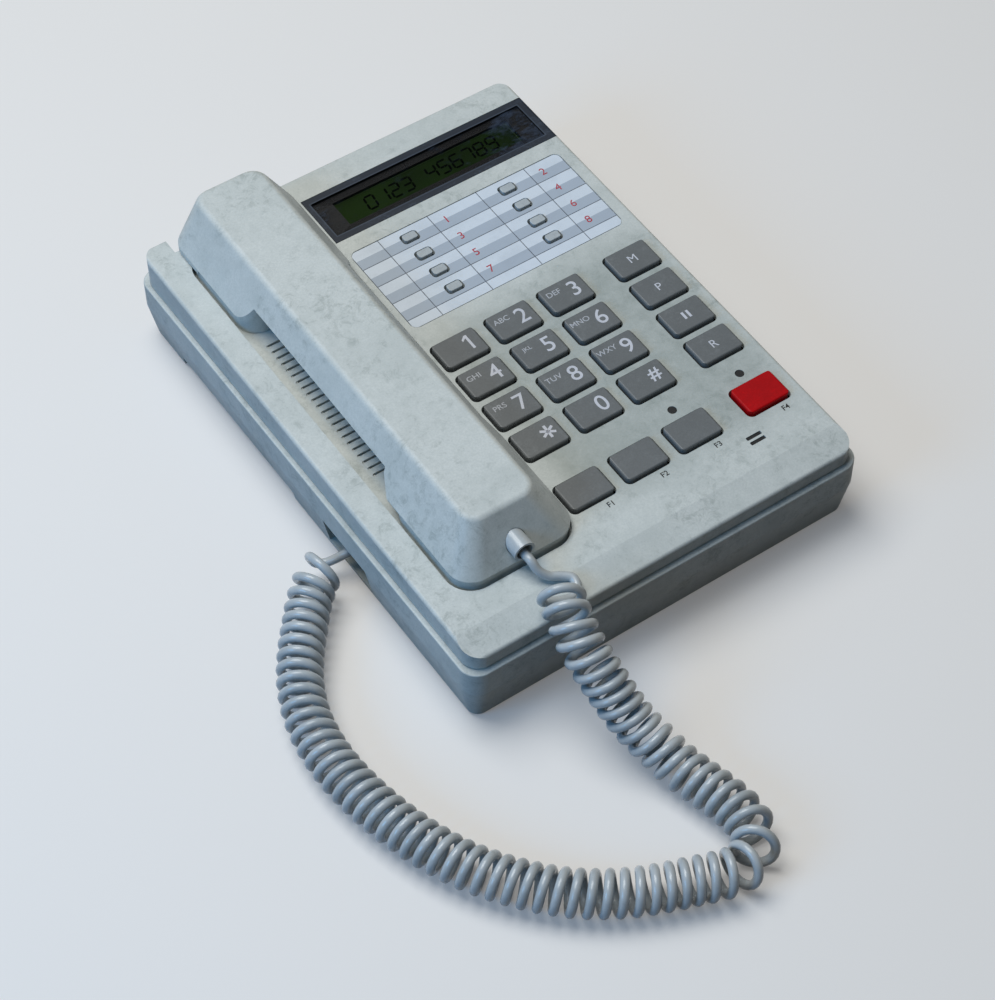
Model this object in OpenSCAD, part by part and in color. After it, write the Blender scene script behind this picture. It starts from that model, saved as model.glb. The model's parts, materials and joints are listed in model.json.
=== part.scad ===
/* [Base shells] */
// Width of the upper housing
base_w = 160; // [156:1:180]
// Depth of the upper housing, front to back
base_d = 215; // [212:1:235]
// Corner radius of the housing seen from above
corner_r = 7; // [4:0.5:10]
// Height of the deck over the table, at mid depth
deck_h = 39; // [37:0.5:46]
// Rise of the deck towards the back, in degrees
deck_tilt = 1.1; // [0.5:0.1:2]
// Thickness of the deck plate
deck_t = 2.4; // [2:0.1:3]
// Thickness of the side walls
wall = 2.2; // [1.8:0.1:3]
// Rounding along the top edge of the housing
edge_r = 1.4; // [0.6:0.2:2]
// Depth of the strip that bends down along the front edge
strip_d = 11; // [8:1:14]
// Angle of the front strip below the deck, in degrees
strip_angle = 13; // [8:1:18]
// Height of the parting line over the table
parting_h = 27.8; // [26:0.2:30]
// Shadow groove between the two shells
groove_h = 0.9; // [0.4:0.1:1]
// How far the lower shell stands proud of the upper one
ledge = 1.8; // [0.6:0.1:2]
// Rounding along the upper edge of the lower shell
ledge_r = 0.5; // [0.3:0.1:1]
// Height of the upright band of the lower shell
band_h = 11.1; // [9:0.1:13]
// How far the lower wall draws in below the band
taper_in = 2.8; // [2:0.1:3.5]
// Thickness of the bottom plate
floor_t = 2; // [1.6:0.1:3]
// Height of the rubber feet below the bottom plate
foot_h = 1.5; // [1:0.1:3]
// Radius of a rubber foot
foot_r = 6; // [4:0.5:8]
// Radius of the housing screws
screw_r = 1.4; // [1.2:0.1:1.6]

/* [Handset] */
// Width of the handset at its rim
handset_w = 47.4; // [45:0.2:49]
// Length of the handset
handset_l = 190.8; // [188:0.2:191]
// Height of the handset over the deck
handset_h = 19.5; // [18:0.5:24]
// Width of the flat top of the handset
handset_top_w = 27.4; // [24:0.2:32]
// Corner radius of the handset seen from above
handset_r = 9; // [7:0.5:11]
// Setback of the top's front edge from the rim
nose_back = 11.3; // [8:0.1:14]
// Height of the rim seam over the deck
rim_h = 2.6; // [2:0.1:4]
// Height of the underside of the grip over the deck
grip_lift = 10; // [8:0.5:11]
// Length of the mouth end along the rim
mouth_l = 45.5; // [42:0.5:50]
// Length of the ear end inside the well
ear_l = 42.8; // [40:0.2:46]
// Wall of the handset shells
handset_wall = 2.2; // [1.8:0.1:2.6]
// How far the cups sit inside the handset's rim
cup_in = 0.3; // [0.2:0.1:0.8]
// Clearance between the handset and its well
handset_gap = 1.2; // [0.8:0.1:1.6]
// Clearance between the handset and the keypad side of its well
keypad_side_gap = 0.7; // [0.5:0.1:0.9]
// Clearance between the handset's ends and the floor of the well
seat_gap = 0.3; // [0.2:0.1:0.5]
// Depth of the well below the deck
well_depth = 3.4; // [3:0.2:11]
// Width of the rail left of the well
rail_w = 10.6; // [9.5:0.1:12]
// Distance from the front edge to the handset
handset_front = 22.7; // [22:0.1:24]
// Depth of the notch behind the handset
notch_d = 7.5; // [6:0.5:9]
// Thickness of the bar that closes the well at the back
bar_t = 4.5; // [3:0.5:6]
// Lift of the hook plunger when the handset is off
hook_lift = 4; // [3:0.5:4.5]
// Outer radius of the cord's boot on the handset
boot_r = 4; // [3.5:0.1:4.5]

/* [Speaker grille] */
// Number of slots in the floor of the well
grille_slots = 22; // [16:1:24]
// Spacing of the slots
grille_pitch = 3.3; // [2.6:0.1:3.4]
// Length of a slot
grille_l = 39.4; // [30:0.2:42]
// Width of the shallow trough round a slot
grille_w = 1.8; // [1.4:0.1:2.2]
// Depth of the trough
grille_sink = 0.5; // [0.3:0.1:0.8]
// Width of the slot itself, along the trough's back edge
grille_slit = 0.6; // [0.4:0.1:1]

/* [Keys] */
// Gap between the columns of the dial keys
column_gap = 5.4; // [4.6:0.1:6.4]
// Gap between the dial keys and the side column
side_gap = 12; // [10:0.2:14]
// Gap between the rows of keys
row_gap = 3.8; // [3.2:0.1:5]
// Gap between the last dial row and the function row
function_gap = 14; // [12:0.2:16]
// Room between the keypad and the right edge of the housing
keypad_right = 6.1; // [5:0.1:8]
// Room between the function row and the front edge of the housing
keypad_front = 29.8; // [28:0.2:32]
// Corner radius of a key
key_r = 2; // [1:0.2:3]
// Height of a key over the deck
key_rise = 1.7; // [1.4:0.1:3]
// Rounding along the top edge of a key
key_edge = 0.7; // [0.3:0.1:1]
// Clearance round a key
key_gap = 0.8; // [0.4:0.1:0.9]
// Travel of a key
key_travel = 1.3; // [0.8:0.1:1.5]
// Width of a one-touch button
memory_w = 5.6; // [4.6:0.2:6.4]
// Depth of a one-touch button
memory_d = 3.4; // [2.8:0.2:4]
// Height of a one-touch button over the deck
memory_rise = 0.7; // [0.5:0.1:1.6]
// Rounding along the top edge of a one-touch button
memory_edge = 0.3; // [0.2:0.1:0.4]
// Radius of the indicator lights
lamp_r = 1.5; // [1.2:0.1:2]

/* [Display and card] */
// Distance from the back edge to the display bezel
bezel_back = 11.8; // [10.5:0.1:13]
// Depth of the display bezel
bezel_d = 24.8; // [24:0.2:28]
// Width of the bezel's frame in front of and behind the window
bezel_frame = 3.1; // [2.4:0.1:3.6]
// Width of the bezel's frame left of the window
bezel_left = 2.4; // [2:0.1:3]
// Width of the bezel's frame at the right edge of the housing
bezel_side = 3.9; // [3:0.1:5]
// Width of the dark border left and right of the display
lcd_side = 7.5; // [6:0.1:10]
// Depth of the display opening
lcd_d = 12.4; // [10:0.2:13]
// Gap between the bezel and the index card
card_gap = 6.9; // [6:0.1:8]
// Room between the index card and the right edge of the housing
card_right = 5.6; // [5:0.1:8]
// Depth of the index card
card_d = 43.5; // [42:0.1:46]
// Thickness of the index card
card_t = 0.3; // [0.2:0.05:0.5]
// Spacing of the rows on the card
card_row = 9.7; // [9:0.1:10]
// Width of the first column on the card
card_left_col = 12.4; // [11:0.1:14]
// Width of the last column on the card
card_right_col = 15.2; // [14:0.1:17]

/* [Curly cord] */
// Outer diameter of the curls
coil_od = 16.4; // [14:0.2:16.4]
// Diameter of the cord itself
wire_d = 3.3; // [2.8:0.1:3.3]
// Number of curls
curls = 69; // [56:1:70]

/* [Hidden] */
dial_names = ["1", "2", "3", "4", "5", "6", "7", "8", "9", "star", "0", "hash"];
side_names = ["memory", "program", "pause", "redial"];
function_names = ["flash", "mute", "hold", "speaker"];

// Colours
shell_grey = [0.72, 0.74, 0.74];
key_grey = [0.36, 0.37, 0.38];
key_red = [0.70, 0.05, 0.07];
slate = [0.16, 0.19, 0.25];
lcd_green = [0.14, 0.20, 0.08];
paper = [0.82, 0.85, 0.88];
rubber_black = [0.08, 0.08, 0.08];
steel = [0.70, 0.71, 0.73];
board_green = [0.10, 0.35, 0.20];
cord_grey = [0.70, 0.72, 0.73];

// Fine clearances and small standard sizes
fit_gap = 0.2;
running_gap = 0.05;
face_gap = 0.3;
curve_fn = 48;
cut = 1;
clear_cut = 50;

// Levels of the lower shell
seat_z = parting_h + groove_h;
band_z = parting_h - band_h;
floor_z = foot_h + floor_t;
groove_in = 1.3;
tongue_h = 2;
tongue_t = 1.3;
tray_w = base_w + 2 * ledge;
tray_d = base_d + 2 * ledge;
tray_r = corner_r;
tongue_w = base_w - 2 * wall - 2 * face_gap;
tongue_d = base_d - 2 * wall - 2 * face_gap;
upper_hollow_w = tongue_w - 2 * tongue_t;
upper_hollow_d = tongue_d - 2 * tongue_t;
lower_hollow_w = tray_w - 2 * taper_in - 2 * wall - 1;
lower_hollow_d = tray_d - 2 * taper_in - 2 * wall - 1;
hollow_r = max(corner_r - wall - 1, 1);

// Places on the deck, from its centre
back_y = base_d / 2;
front_y = -base_d / 2;
left_x = -base_w / 2;
right_x = base_w / 2;
strip_fall = tan(strip_angle);
well_wall = 1.2;
well_x0 = left_x + rail_w;
handset_x = well_x0 + handset_gap + handset_w / 2;
well_x1 = handset_x + handset_w / 2 - cup_in + keypad_side_gap;
handset_y0 = front_y + handset_front;
handset_y1 = handset_y0 + handset_l;
well_y0 = handset_y0 - handset_gap;
bar_y1 = back_y - notch_d;
bar_y0 = bar_y1 - bar_t;
well_r = handset_r + handset_gap;
well_floor_t = 2.2;
well_under = -well_depth - well_floor_t;
lobe_bottom = seat_gap - well_depth;
ear_y1 = bar_y0 - handset_gap;
ear_y0 = ear_y1 - ear_l;
mouth_y0 = handset_y0;
mouth_y1 = mouth_y0 + mouth_l;
grip_slope = 1.2;
mouth_top_y = mouth_y1 + (grip_lift - rim_h) * grip_slope;

plate_margin = 1.7;
plate_x0 = well_x1 + plate_margin;
bezel_x0 = plate_x0;
window_x0 = bezel_x0 + bezel_left;
window_x1 = right_x - bezel_side;
window_x = (window_x0 + window_x1) / 2;
lcd_w = window_x1 - window_x0 - 2 * lcd_side;
bezel_y1 = back_y - bezel_back;
bezel_y0 = bezel_y1 - bezel_d;
bezel_y = (bezel_y0 + bezel_y1) / 2;
bezel_depth = 1.8;
bezel_floor = 0.7;
window_t = 0.6;
window_r = 0.8;
lcd_t = 1.8;
lcd_frame = 3;
card_left = 0.7;
card_x0 = plate_x0 + card_left;
card_w = right_x - card_right - card_x0;
card_col = (card_w - card_left_col - card_right_col) / 3;
card_y1 = bezel_y0 - card_gap;
card_y0 = card_y1 - card_d;
card_sink = card_t + 0.1;
card_r = 3;
card_top_row = 5.3;
memory_x = [for (c = [1, 3]) card_x0 + card_left_col + (c - 0.5) * card_col];
memory_y = [for (r = [0:3]) card_y1 - card_top_row - r * card_row];

keypad_left = 0.2;
keypad_gap = 10.8;
key_w = (right_x - keypad_right - plate_x0 - keypad_left - 2 * column_gap - side_gap) / 4;
key_d = (card_y0 - keypad_gap - front_y - keypad_front - 3 * row_gap - function_gap) / 5;
col_x = [for (c = [0:2]) plate_x0 + keypad_left + key_w / 2 + c * (key_w + column_gap)];
side_x = right_x - keypad_right - key_w / 2;
row_y = [for (r = [0:3]) card_y0 - keypad_gap - key_d / 2 - r * (key_d + row_gap)];
function_y = front_y + keypad_front + key_d / 2;
lamp_y = function_y + key_d / 2 + 5.2;
mic_x = side_x - 13;
mic_y = function_y - key_d / 2 - 8.5;
mic_slot_l = 6.3;
mic_slot_w = 1.45;
mic_slot_pitch = 2.4;
mic_r = 4;
mic_h = 2.7;
mic_dish = 0.4;
mic_sink = 0.3;

// Heights under the deck, downwards from its top face
flange = 1.4;
flange_t = 1.2;
flange_top = -deck_t - 0.4;
flange_bottom = flange_top - flange_t;
stem_bottom = flange_bottom - 2.6;
pad_top = stem_bottom - key_travel - face_gap;
pad_h = 1;
mat_t = 1.2;
board_top = pad_top - pad_h - mat_t;
board_t = 1.6;
board_bottom = board_top - board_t;
board_x0 = plate_x0 + 3.6;
board_x1 = right_x - wall - 4;
board_y0 = front_y + 16;
board_y1 = bezel_y0 - 2;
board_inset = 5;
board_boss_r = 3;
board_screw_r = 1.1;
board_holes = [for (x = [board_x0 + board_inset, board_x1 - board_inset])
    for (y = [board_y0 + board_inset, board_y1 - board_inset]) [x, y]];

// Housing screws, from below
screw_x = base_w / 2 - 8.5;
screw_y = base_d / 2 - 9.5;
screw_places = [for (x = [-screw_x, screw_x]) for (y = [-screw_y, screw_y]) [x, y]];
boss_r = 3.5;
boss_split = 20;
screw_head_r = 2.6;
screw_head_h = 2;
screw_sink = 5;
screw_top = boss_split + 7;
foot_places = [for (x = [-base_w / 2 + 18, base_w / 2 - 18])
    for (y = [-base_d / 2 + 17.5, base_d / 2 - 17.5]) [x, y]];
foot_sink = 0.6;

// Jacks and the plug
jack_w = 13;
jack_h = 12;
jack_l = 15;
jack_z = 12;
jack_y = -31;
jack_bay_y0 = -44.5;
jack_bay_y1 = -17.5;
jack_bay_in = 7.8;
jack_bay_z0 = 4;
jack_face_x = -tray_w / 2 + jack_bay_in;
socket_w = 8.1;
socket_h = 6.9;
socket_l = 12;
plug_l = 15;
plug_out = 4;
line_x = 30;
line_face_y = tray_d / 2 - taper_in;
line_socket_w = 9.9;
line_socket_h = 6.9;
scallop_y0 = 6.5;
scallop_y1 = 83.5;
scallop_h = 4;
scallop_in = 1.4;

// Hook switch
hook_y = bar_y0 - 9;
hook_w = 10;
hook_d = 7;
hook_drop = hook_lift + 2;
hook_flange = 1.5;
hook_flange_t = 1.5;
switch_w = 16;
switch_d = 10;
switch_h = 10;
hook_bottom = well_under - hook_drop;
switch_top_z = deck_h + hook_y * sin(deck_tilt) + hook_bottom * cos(deck_tilt) - 0.6;
switch_y = hook_y * cos(deck_tilt) - hook_bottom * sin(deck_tilt);

// Loudspeaker
speaker_y = 10.6;
speaker_r = 24;
speaker_rim = 2;
speaker_depth = 10;
magnet_r = 13;
magnet_h = 6;

// Handset inside
receiver_r = 14;
receiver_h = 9;
receiver_rim = 3;
receiver_cone = 4.5;
receiver_neck = 5;
receiver_y = (ear_y0 + ear_y1) / 2 + 4.5;
mouth_mic_r = 10;
mouth_mic_h = 3.4;
mouth_mic_y = mouth_y0 + 17;
handset_screw_y = [mouth_y1 - 8, ear_y0 + 7.5];
handset_screw_r = 1.2;
handset_head_r = 2.2;
handset_head_h = 1.8;
handset_head_sink = 3;
handset_screw_end = 4;
handset_post_r = 3;
tail_under = 0.8;
top_round = 3;
top_plan_r = 4;
grip_floor_t = 2;
boot_n = 8;
boot_reach = 1.2;
boot_l = 14;
boot_wall = 0.9;
boot_bore_r = boot_r - boot_wall;
boot_bore_l = 6;
cord_low = 1.1;
cord_mouth_gap = 0.15;
boot_flange = 1;
boot_y0 = handset_y0 - boot_reach;

// Middle line of the curls between the boot and the plug
route = [
    [-44.2, -105.7, 44.2], [-45.7, -110.8, 43.3], [-46.7, -115.5, 41.8], [-47.3, -119.7, 39.5],
    [-47.5, -123.7, 36.9], [-47.1, -127.6, 33.9], [-46.4, -131.4, 30.6], [-45.6, -135, 27.2],
    [-44.8, -138.7, 23.8], [-43.9, -142.4, 20.5], [-42.7, -146.2, 17.3], [-41.3, -150.1, 14.5],
    [-39.7, -154.3, 12], [-37.4, -163, 9], [-34.9, -172.6, 8.5], [-32.4, -182.3, 8.5],
    [-31.4, -191.6, 8.5], [-33.4, -199.4, 8.5], [-39.6, -204.3, 8.5], [-47.4, -204.6, 8.5],
    [-59.5, -200.3, 8.5], [-67.6, -197.2, 8.5], [-76, -193.4, 8.5], [-84.3, -188.6, 8.5],
    [-92, -183, 8.5], [-98.9, -176.5, 8.5], [-105.2, -169.3, 8.5], [-111, -161.4, 8.5],
    [-116, -153, 8.5], [-120.2, -143.7, 8.5], [-123.6, -133.8, 8.5], [-126.3, -123.7, 8.5],
    [-128.2, -113, 8.5], [-129.2, -102, 8.5], [-128.8, -90.4, 8.5], [-126.6, -78.5, 8.5],
    [-122, -67, 8.5], [-115.4, -56.4, 8.5], [-107.4, -46.4, 8.6], [-99.8, -37.9, 9.4],
    [-92, -32.4, 11.2]];
// Straight run out of the boot and the loose loop before the first curl, over the deck
loose_end = [
    [-44.5, -89.65, 6.9], [-43.6, -92.8, 4.4], [-41, -95.4, 2.4], [-37.6, -97.2, 2],
    [-34.8, -99.8, 1.7], [-35.6, -103.4, 0.9], [-40, -105.2, 0.4]];
plug_lead_extra = 1.5;
lead_turns = 0.7;
lead_steps = 3;
first_turn = -150;
bend_ease = 0.85;
tightest = 0.4;
rings_per_curl = 8;
wire_sides = 6;

// Frame of the tilted deck: X right, Y back, Z up from the deck's top face
module on_deck() {
    translate([0, 0, deck_h]) rotate([deck_tilt, 0, 0]) children();
}

// A point of the deck frame in the frame of the whole object
function deck_point(p) = [
    p[0],
    p[1] * cos(deck_tilt) - p[2] * sin(deck_tilt),
    deck_h + p[1] * sin(deck_tilt) + p[2] * cos(deck_tilt)];

module rounded_rect(w, d, r) {
    square([w - 2 * r, d], center = true);
    square([w, d - 2 * r], center = true);
    for (sx = [-1, 1], sy = [-1, 1])
        translate([sx * (w / 2 - r), sy * (d / 2 - r)]) circle(r, $fn = curve_fn);
}

module slab(w, d, h, r) {
    linear_extrude(h) rounded_rect(w, d, r);
}

// A rounded slab given by its sides, from z0 to z1
module pocket(x0, x1, y0, y1, z0, z1, r) {
    translate([(x0 + x1) / 2, (y0 + y1) / 2, z0]) slab(x1 - x0, y1 - y0, z1 - z0, r);
}

module box(x0, x1, y0, y1, z0, z1) {
    translate([x0, y0, z0]) cube([x1 - x0, y1 - y0, z1 - z0]);
}

// Points of an arc in the plane
function arc(c, r, a0, a1, steps = 6) = [for (i = [0:steps])
    c + r * [cos(a0 + (a1 - a0) * i / steps), sin(a0 + (a1 - a0) * i / steps)]];

// Extrudes a depth-height profile across the whole width
module across(w) {
    rotate([90, 0, 90]) linear_extrude(w, center = true) children();
}

// Extrudes a width-height profile along the whole depth
module along(d) {
    rotate([90, 0, 0]) linear_extrude(d, center = true) children();
}

// Depth profile below the deck's top face, sunk by a margin
module deck_side(sink) {
    bend_y = front_y + strip_d;
    over = 10;
    polygon([
        [front_y - over, -sink - (strip_d + over) * strip_fall], [bend_y, -sink],
        [back_y + over, -sink], [back_y + over, -deck_h], [front_y - over, -deck_h]]);
}

// Depth profile with its rounded front and back edges
module deck_side_rounded() {
    bend_y = front_y + strip_d;
    tip = [front_y + edge_r, -strip_d * strip_fall - edge_r * (1 - strip_fall)];
    polygon(concat(
        [[bend_y, 0]],
        arc(tip, edge_r, 90 + strip_angle, 180),
        [[front_y, -deck_h], [back_y, -deck_h]],
        arc([back_y - edge_r, -edge_r], edge_r, 0, 90)));
}

// Width profile with its rounded upper edges
module deck_cross_rounded() {
    polygon(concat(
        arc([right_x - edge_r, -edge_r], edge_r, 0, 90),
        arc([left_x + edge_r, -edge_r], edge_r, 90, 180),
        [[left_x, -deck_h], [right_x, -deck_h]]));
}

module housing_envelope() {
    intersection() {
        translate([0, 0, seat_z]) slab(base_w, base_d, deck_h, corner_r);
        on_deck() across(base_w + 2) deck_side_rounded();
        on_deck() along(base_d + 20) deck_cross_rounded();
    }
}

module housing_hollow() {
    intersection() {
        translate([0, 0, seat_z - cut]) slab(base_w - 2 * wall, base_d - 2 * wall, deck_h, corner_r - wall);
        on_deck() across(base_w) deck_side(deck_t);
    }
}

// The walls and floor of the handset's well, before its hollow is cut
module well_block() {
    on_deck() pocket(well_x0 - well_wall, well_x1 + well_wall, well_y0 - well_wall, bar_y1, well_under,
        -deck_t / 2,
        well_r + well_wall);
    intersection() {
        housing_envelope();
        translate([0, 0, seat_z]) box(well_x0 - well_wall, well_x1 + well_wall, bar_y0, back_y, 0, deck_h);
    }
}

module housing_bosses() {
    intersection() {
        for (p = screw_places) translate([p[0], p[1], boss_split])
            cylinder(r = boss_r, h = deck_h, $fn = curve_fn);
        on_deck() across(base_w) deck_side(deck_t / 2);
    }
    on_deck() for (p = board_holes)
        translate([p[0], p[1], board_top])
            cylinder(r = board_boss_r, h = -board_top - deck_t / 2, $fn = curve_fn);
}

// Hollow of the well, the notch behind it, the grille and the plunger's guide
module well_cuts() {
    on_deck() {
        pocket(well_x0, well_x1, well_y0, bar_y0, -well_depth, deck_h, well_r);
        for (i = [0:grille_slots - 1])
            translate([handset_x, speaker_y + (i - (grille_slots - 1) / 2) * grille_pitch,
                well_under - cut]) {
                translate([0, 0, well_floor_t + cut - grille_sink])
                    slab(grille_l, grille_w, grille_sink + cut, grille_w / 2 - running_gap);
                translate([0, (grille_w - grille_slit) / 2, 0])
                    slab(grille_l - grille_w, grille_slit, well_floor_t + 2 * cut,
                        grille_slit / 2 - running_gap);
            }
        translate([handset_x, hook_y, well_under - cut])
            slab(hook_w + 2 * face_gap, hook_d + 2 * face_gap, well_floor_t + 2 * cut, 2 + face_gap);
    }
    box(well_x0, well_x1, bar_y1, back_y + 5, seat_z + wall, deck_h * 2);
}

module key_hole(w, d, r) {
    translate([0, 0, -deck_t - cut]) slab(w + 2 * key_gap, d + 2 * key_gap, deck_t + 2 * cut,
        r + key_gap / 2);
}

module deck_cuts() {
    on_deck() {
        for (x = col_x, y = concat(row_y, [function_y])) translate([x, y, 0]) key_hole(key_w, key_d, key_r);
        for (y = concat(row_y, [function_y])) translate([side_x, y, 0]) key_hole(key_w, key_d, key_r);
        for (x = memory_x, y = memory_y) translate([x, y, 0]) key_hole(memory_w, memory_d, memory_r);
        for (x = [col_x[2], side_x]) translate([x, lamp_y, -deck_t - cut])
            cylinder(r = lamp_r + fit_gap, h = deck_t + 2 * cut, $fn = curve_fn);
        for (s = [-1, 1]) translate([mic_x, mic_y + s * mic_slot_pitch / 2, -deck_t - cut])
            slab(mic_slot_l, mic_slot_w, deck_t + 2 * cut, 0.3);
        box(bezel_x0, right_x + cut, bezel_y0, bezel_y1, -bezel_depth, cut);
        translate([window_x, bezel_y, -deck_t - cut]) slab(lcd_w + 1, lcd_d + 1, deck_t + 2 * cut, 0.5);
        pocket(card_x0, card_x0 + card_w, card_y0, card_y1, -card_sink, cut, card_r);
        for (p = board_holes) translate([p[0], p[1], board_top - cut])
            cylinder(r = board_screw_r + running_gap, h = 6, $fn = curve_fn);
    }
    for (p = screw_places) translate([p[0], p[1], boss_split - cut])
        cylinder(r = screw_r + running_gap, h = screw_top - boss_split + 2 * cut, $fn = curve_fn);
}

memory_r = 1.1;

module top_housing() {
    color(shell_grey) difference() {
        union() {
            difference() {
                housing_envelope();
                housing_hollow();
            }
            well_block();
            housing_bosses();
        }
        well_cuts();
        deck_cuts();
    }
}

// Width or depth profile of the lower shell: upright band over a drawn-in wall
module tray_profile(w) {
    polygon(concat(
        [[-w / 2 + taper_in, foot_h], [w / 2 - taper_in, foot_h], [w / 2, band_z]],
        arc([w / 2 - ledge_r, parting_h - ledge_r], ledge_r, 0, 90, 4),
        arc([-w / 2 + ledge_r, parting_h - ledge_r], ledge_r, 90, 180, 4),
        [[-w / 2, band_z]]));
}

// The same profile from the middle of a corner outwards
function tray_edge(r) = concat(
    [[0, foot_h], [r - taper_in, foot_h], [r, band_z]],
    arc([r - ledge_r, parting_h - ledge_r], ledge_r, 0, 90, 4),
    [[0, parting_h]]);

module tray_envelope() {
    across(tray_w - 2 * tray_r) tray_profile(tray_d);
    along(tray_d - 2 * tray_r) tray_profile(tray_w);
    for (sx = [-1, 1], sy = [-1, 1])
        translate([sx * (tray_w / 2 - tray_r), sy * (tray_d / 2 - tray_r), 0])
            rotate_extrude($fn = curve_fn) polygon(tray_edge(tray_r));
    translate([0, 0, parting_h - cut])
        slab(base_w - 2 * groove_in, base_d - 2 * groove_in, groove_h + cut, corner_r - groove_in);
    translate([0, 0, seat_z - cut]) slab(tongue_w, tongue_d, tongue_h + cut, corner_r - wall - face_gap);
}

module tray_hollow() {
    translate([0, 0, floor_z]) slab(lower_hollow_w, lower_hollow_d, deck_h, hollow_r);
    translate([0, 0, band_z + wall]) slab(upper_hollow_w, upper_hollow_d, deck_h, hollow_r);
}

// Posts, pedestals and the walls of the jack bay inside the lower shell
module tray_fittings() {
    for (p = screw_places) translate([p[0], p[1], foot_h])
        cylinder(r = boss_r, h = boss_split - foot_h, $fn = curve_fn);
    box(handset_x - switch_w / 2, handset_x + switch_w / 2, switch_y - switch_d / 2,
        switch_y + switch_d / 2,
        foot_h, switch_top_z - switch_h);
    box(-tray_w / 2 + taper_in + wall, jack_face_x + wall, jack_bay_y0 - wall, jack_bay_y1 + wall,
        foot_h, band_z + wall);
}

module tray_cuts() {
    box(-tray_w / 2 - cut, jack_face_x, jack_bay_y0, jack_bay_y1, jack_bay_z0, band_z);
    translate([jack_face_x, jack_y, jack_z])
        cube([4 * wall, jack_w + 2 * fit_gap, jack_h + 2 * fit_gap], center = true);
    translate([line_x, tray_d / 2, jack_z])
        cube([jack_w + 2 * fit_gap, 30, jack_h + 2 * fit_gap], center = true);
    for (p = screw_places) translate([p[0], p[1], 0]) {
        cylinder(r = screw_r + fit_gap, h = deck_h, $fn = curve_fn);
        cylinder(r = screw_head_r + fit_gap, h = foot_h + screw_sink, $fn = curve_fn);
    }
    for (p = foot_places) translate([p[0], p[1], -cut])
        cylinder(r = foot_r + fit_gap, h = foot_h + foot_sink + cut, $fn = curve_fn);
    for (s = [-1, 1]) translate([s * (tray_w / 2 - taper_in + 10 - scallop_in),
        (scallop_y0 + scallop_y1) / 2, foot_h])
        cube([20, scallop_y1 - scallop_y0, 2 * scallop_h], center = true);
    box(well_x0 - well_wall - face_gap, well_x1 + well_wall + face_gap, bar_y0 - face_gap, tray_d,
        seat_z, deck_h * 2);
}

module base_tray() {
    color(shell_grey) difference() {
        union() {
            difference() {
                tray_envelope();
                tray_hollow();
            }
            tray_fittings();
        }
        tray_cuts();
    }
}

module rubber_feet() {
    color(rubber_black) for (p = foot_places) translate([p[0], p[1], 0]) {
        cylinder(r = foot_r, h = foot_h + foot_sink, $fn = curve_fn);
    }
}

// A pan-head screw with its head down, standing on its shank's top
module screw_up(r, head_r, head_h, l) {
    cylinder(r = r, h = l, $fn = curve_fn);
    difference() {
        cylinder(r = head_r, h = head_h, $fn = curve_fn);
        for (a = [0, 90]) rotate([0, 0, a]) cube([head_r * 1.2, 0.7, head_h], center = true);
    }
}

module housing_screws() {
    color(steel) for (p = screw_places) translate([p[0], p[1], foot_h + screw_sink - screw_head_h])
        screw_up(screw_r, screw_head_r, screw_head_h, screw_top - foot_h - screw_sink + screw_head_h);
}

module circuit_board() {
    color(board_green) on_deck() difference() {
        box(board_x0, board_x1, board_y0, board_y1, board_bottom, board_top);
        for (p = board_holes) translate([p[0], p[1], board_bottom - cut])
            cylinder(r = board_screw_r + fit_gap, h = board_t + 2 * cut, $fn = curve_fn);
    }
}

module board_screws() {
    head_h = 1.6;
    color(steel) on_deck() for (p = board_holes) translate([p[0], p[1], board_bottom - head_h])
        screw_up(board_screw_r, 2.2, head_h, head_h + board_t + 4);
}

module key_mat() {
    margin = 1;
    pad_r = 3;
    color([0.55, 0.56, 0.57]) on_deck() {
        box(board_x0 + margin, board_x1 - margin, function_y - key_d / 2 - 3,
            board_y1 - board_inset - board_boss_r - 1,
            board_top, board_top + mat_t);
        for (x = concat(col_x, [side_x]), y = concat(row_y, [function_y]))
            translate([x, y, board_top]) cylinder(r = pad_r, h = mat_t + pad_h, $fn = curve_fn);
        for (x = memory_x, y = memory_y)
            translate([x, y, board_top]) cylinder(r = pad_r / 2, h = mat_t + pad_h, $fn = curve_fn);
    }
}

// Cap with rounded upper edges, from a level below the deck to its top
module rounded_cap(w, d, r, bottom, top, edge) {
    intersection() {
        translate([0, 0, bottom]) slab(w, d, top - bottom, r);
        across(w + 2) polygon(concat(
            arc([d / 2 - edge, top - edge], edge, 0, 90),
            arc([-d / 2 + edge, top - edge], edge, 90, 180),
            [[-d / 2, bottom - cut], [d / 2, bottom - cut]]));
        along(d + 2) polygon(concat(
            arc([w / 2 - edge, top - edge], edge, 0, 90),
            arc([-w / 2 + edge, top - edge], edge, 90, 180),
            [[-w / 2, bottom - cut], [w / 2, bottom - cut]]));
    }
}

// A hollow key cap with its retaining flange and its stem
module key_cap(w, d, r, rise, edge, stem_r, shade) {
    shell = 1.3;
    color(shade) {
        difference() {
            union() {
                rounded_cap(w, d, r, flange_bottom, rise, edge);
                translate([0, 0, flange_bottom]) slab(w, d + 2 * flange, flange_t, r);
            }
            translate([0, 0, flange_bottom - cut])
                slab(w - 2 * shell, d - 2 * shell, cut + rise - shell - flange_bottom, max(r - shell, 0.3));
        }
        translate([0, 0, stem_bottom]) cylinder(r = stem_r, h = rise - edge - stem_bottom, $fn = curve_fn);
    }
}

module large_key(x, y, shade) {
    on_deck() translate([x, y, 0]) key_cap(key_w, key_d, key_r, key_rise, key_edge, 2.5, shade);
}

module memory_key(i) {
    on_deck() translate([memory_x[i % 2], memory_y[floor(i / 2)], 0])
        key_cap(memory_w, memory_d, memory_r, memory_rise, memory_edge, 0.9, shell_grey);
}

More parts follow.
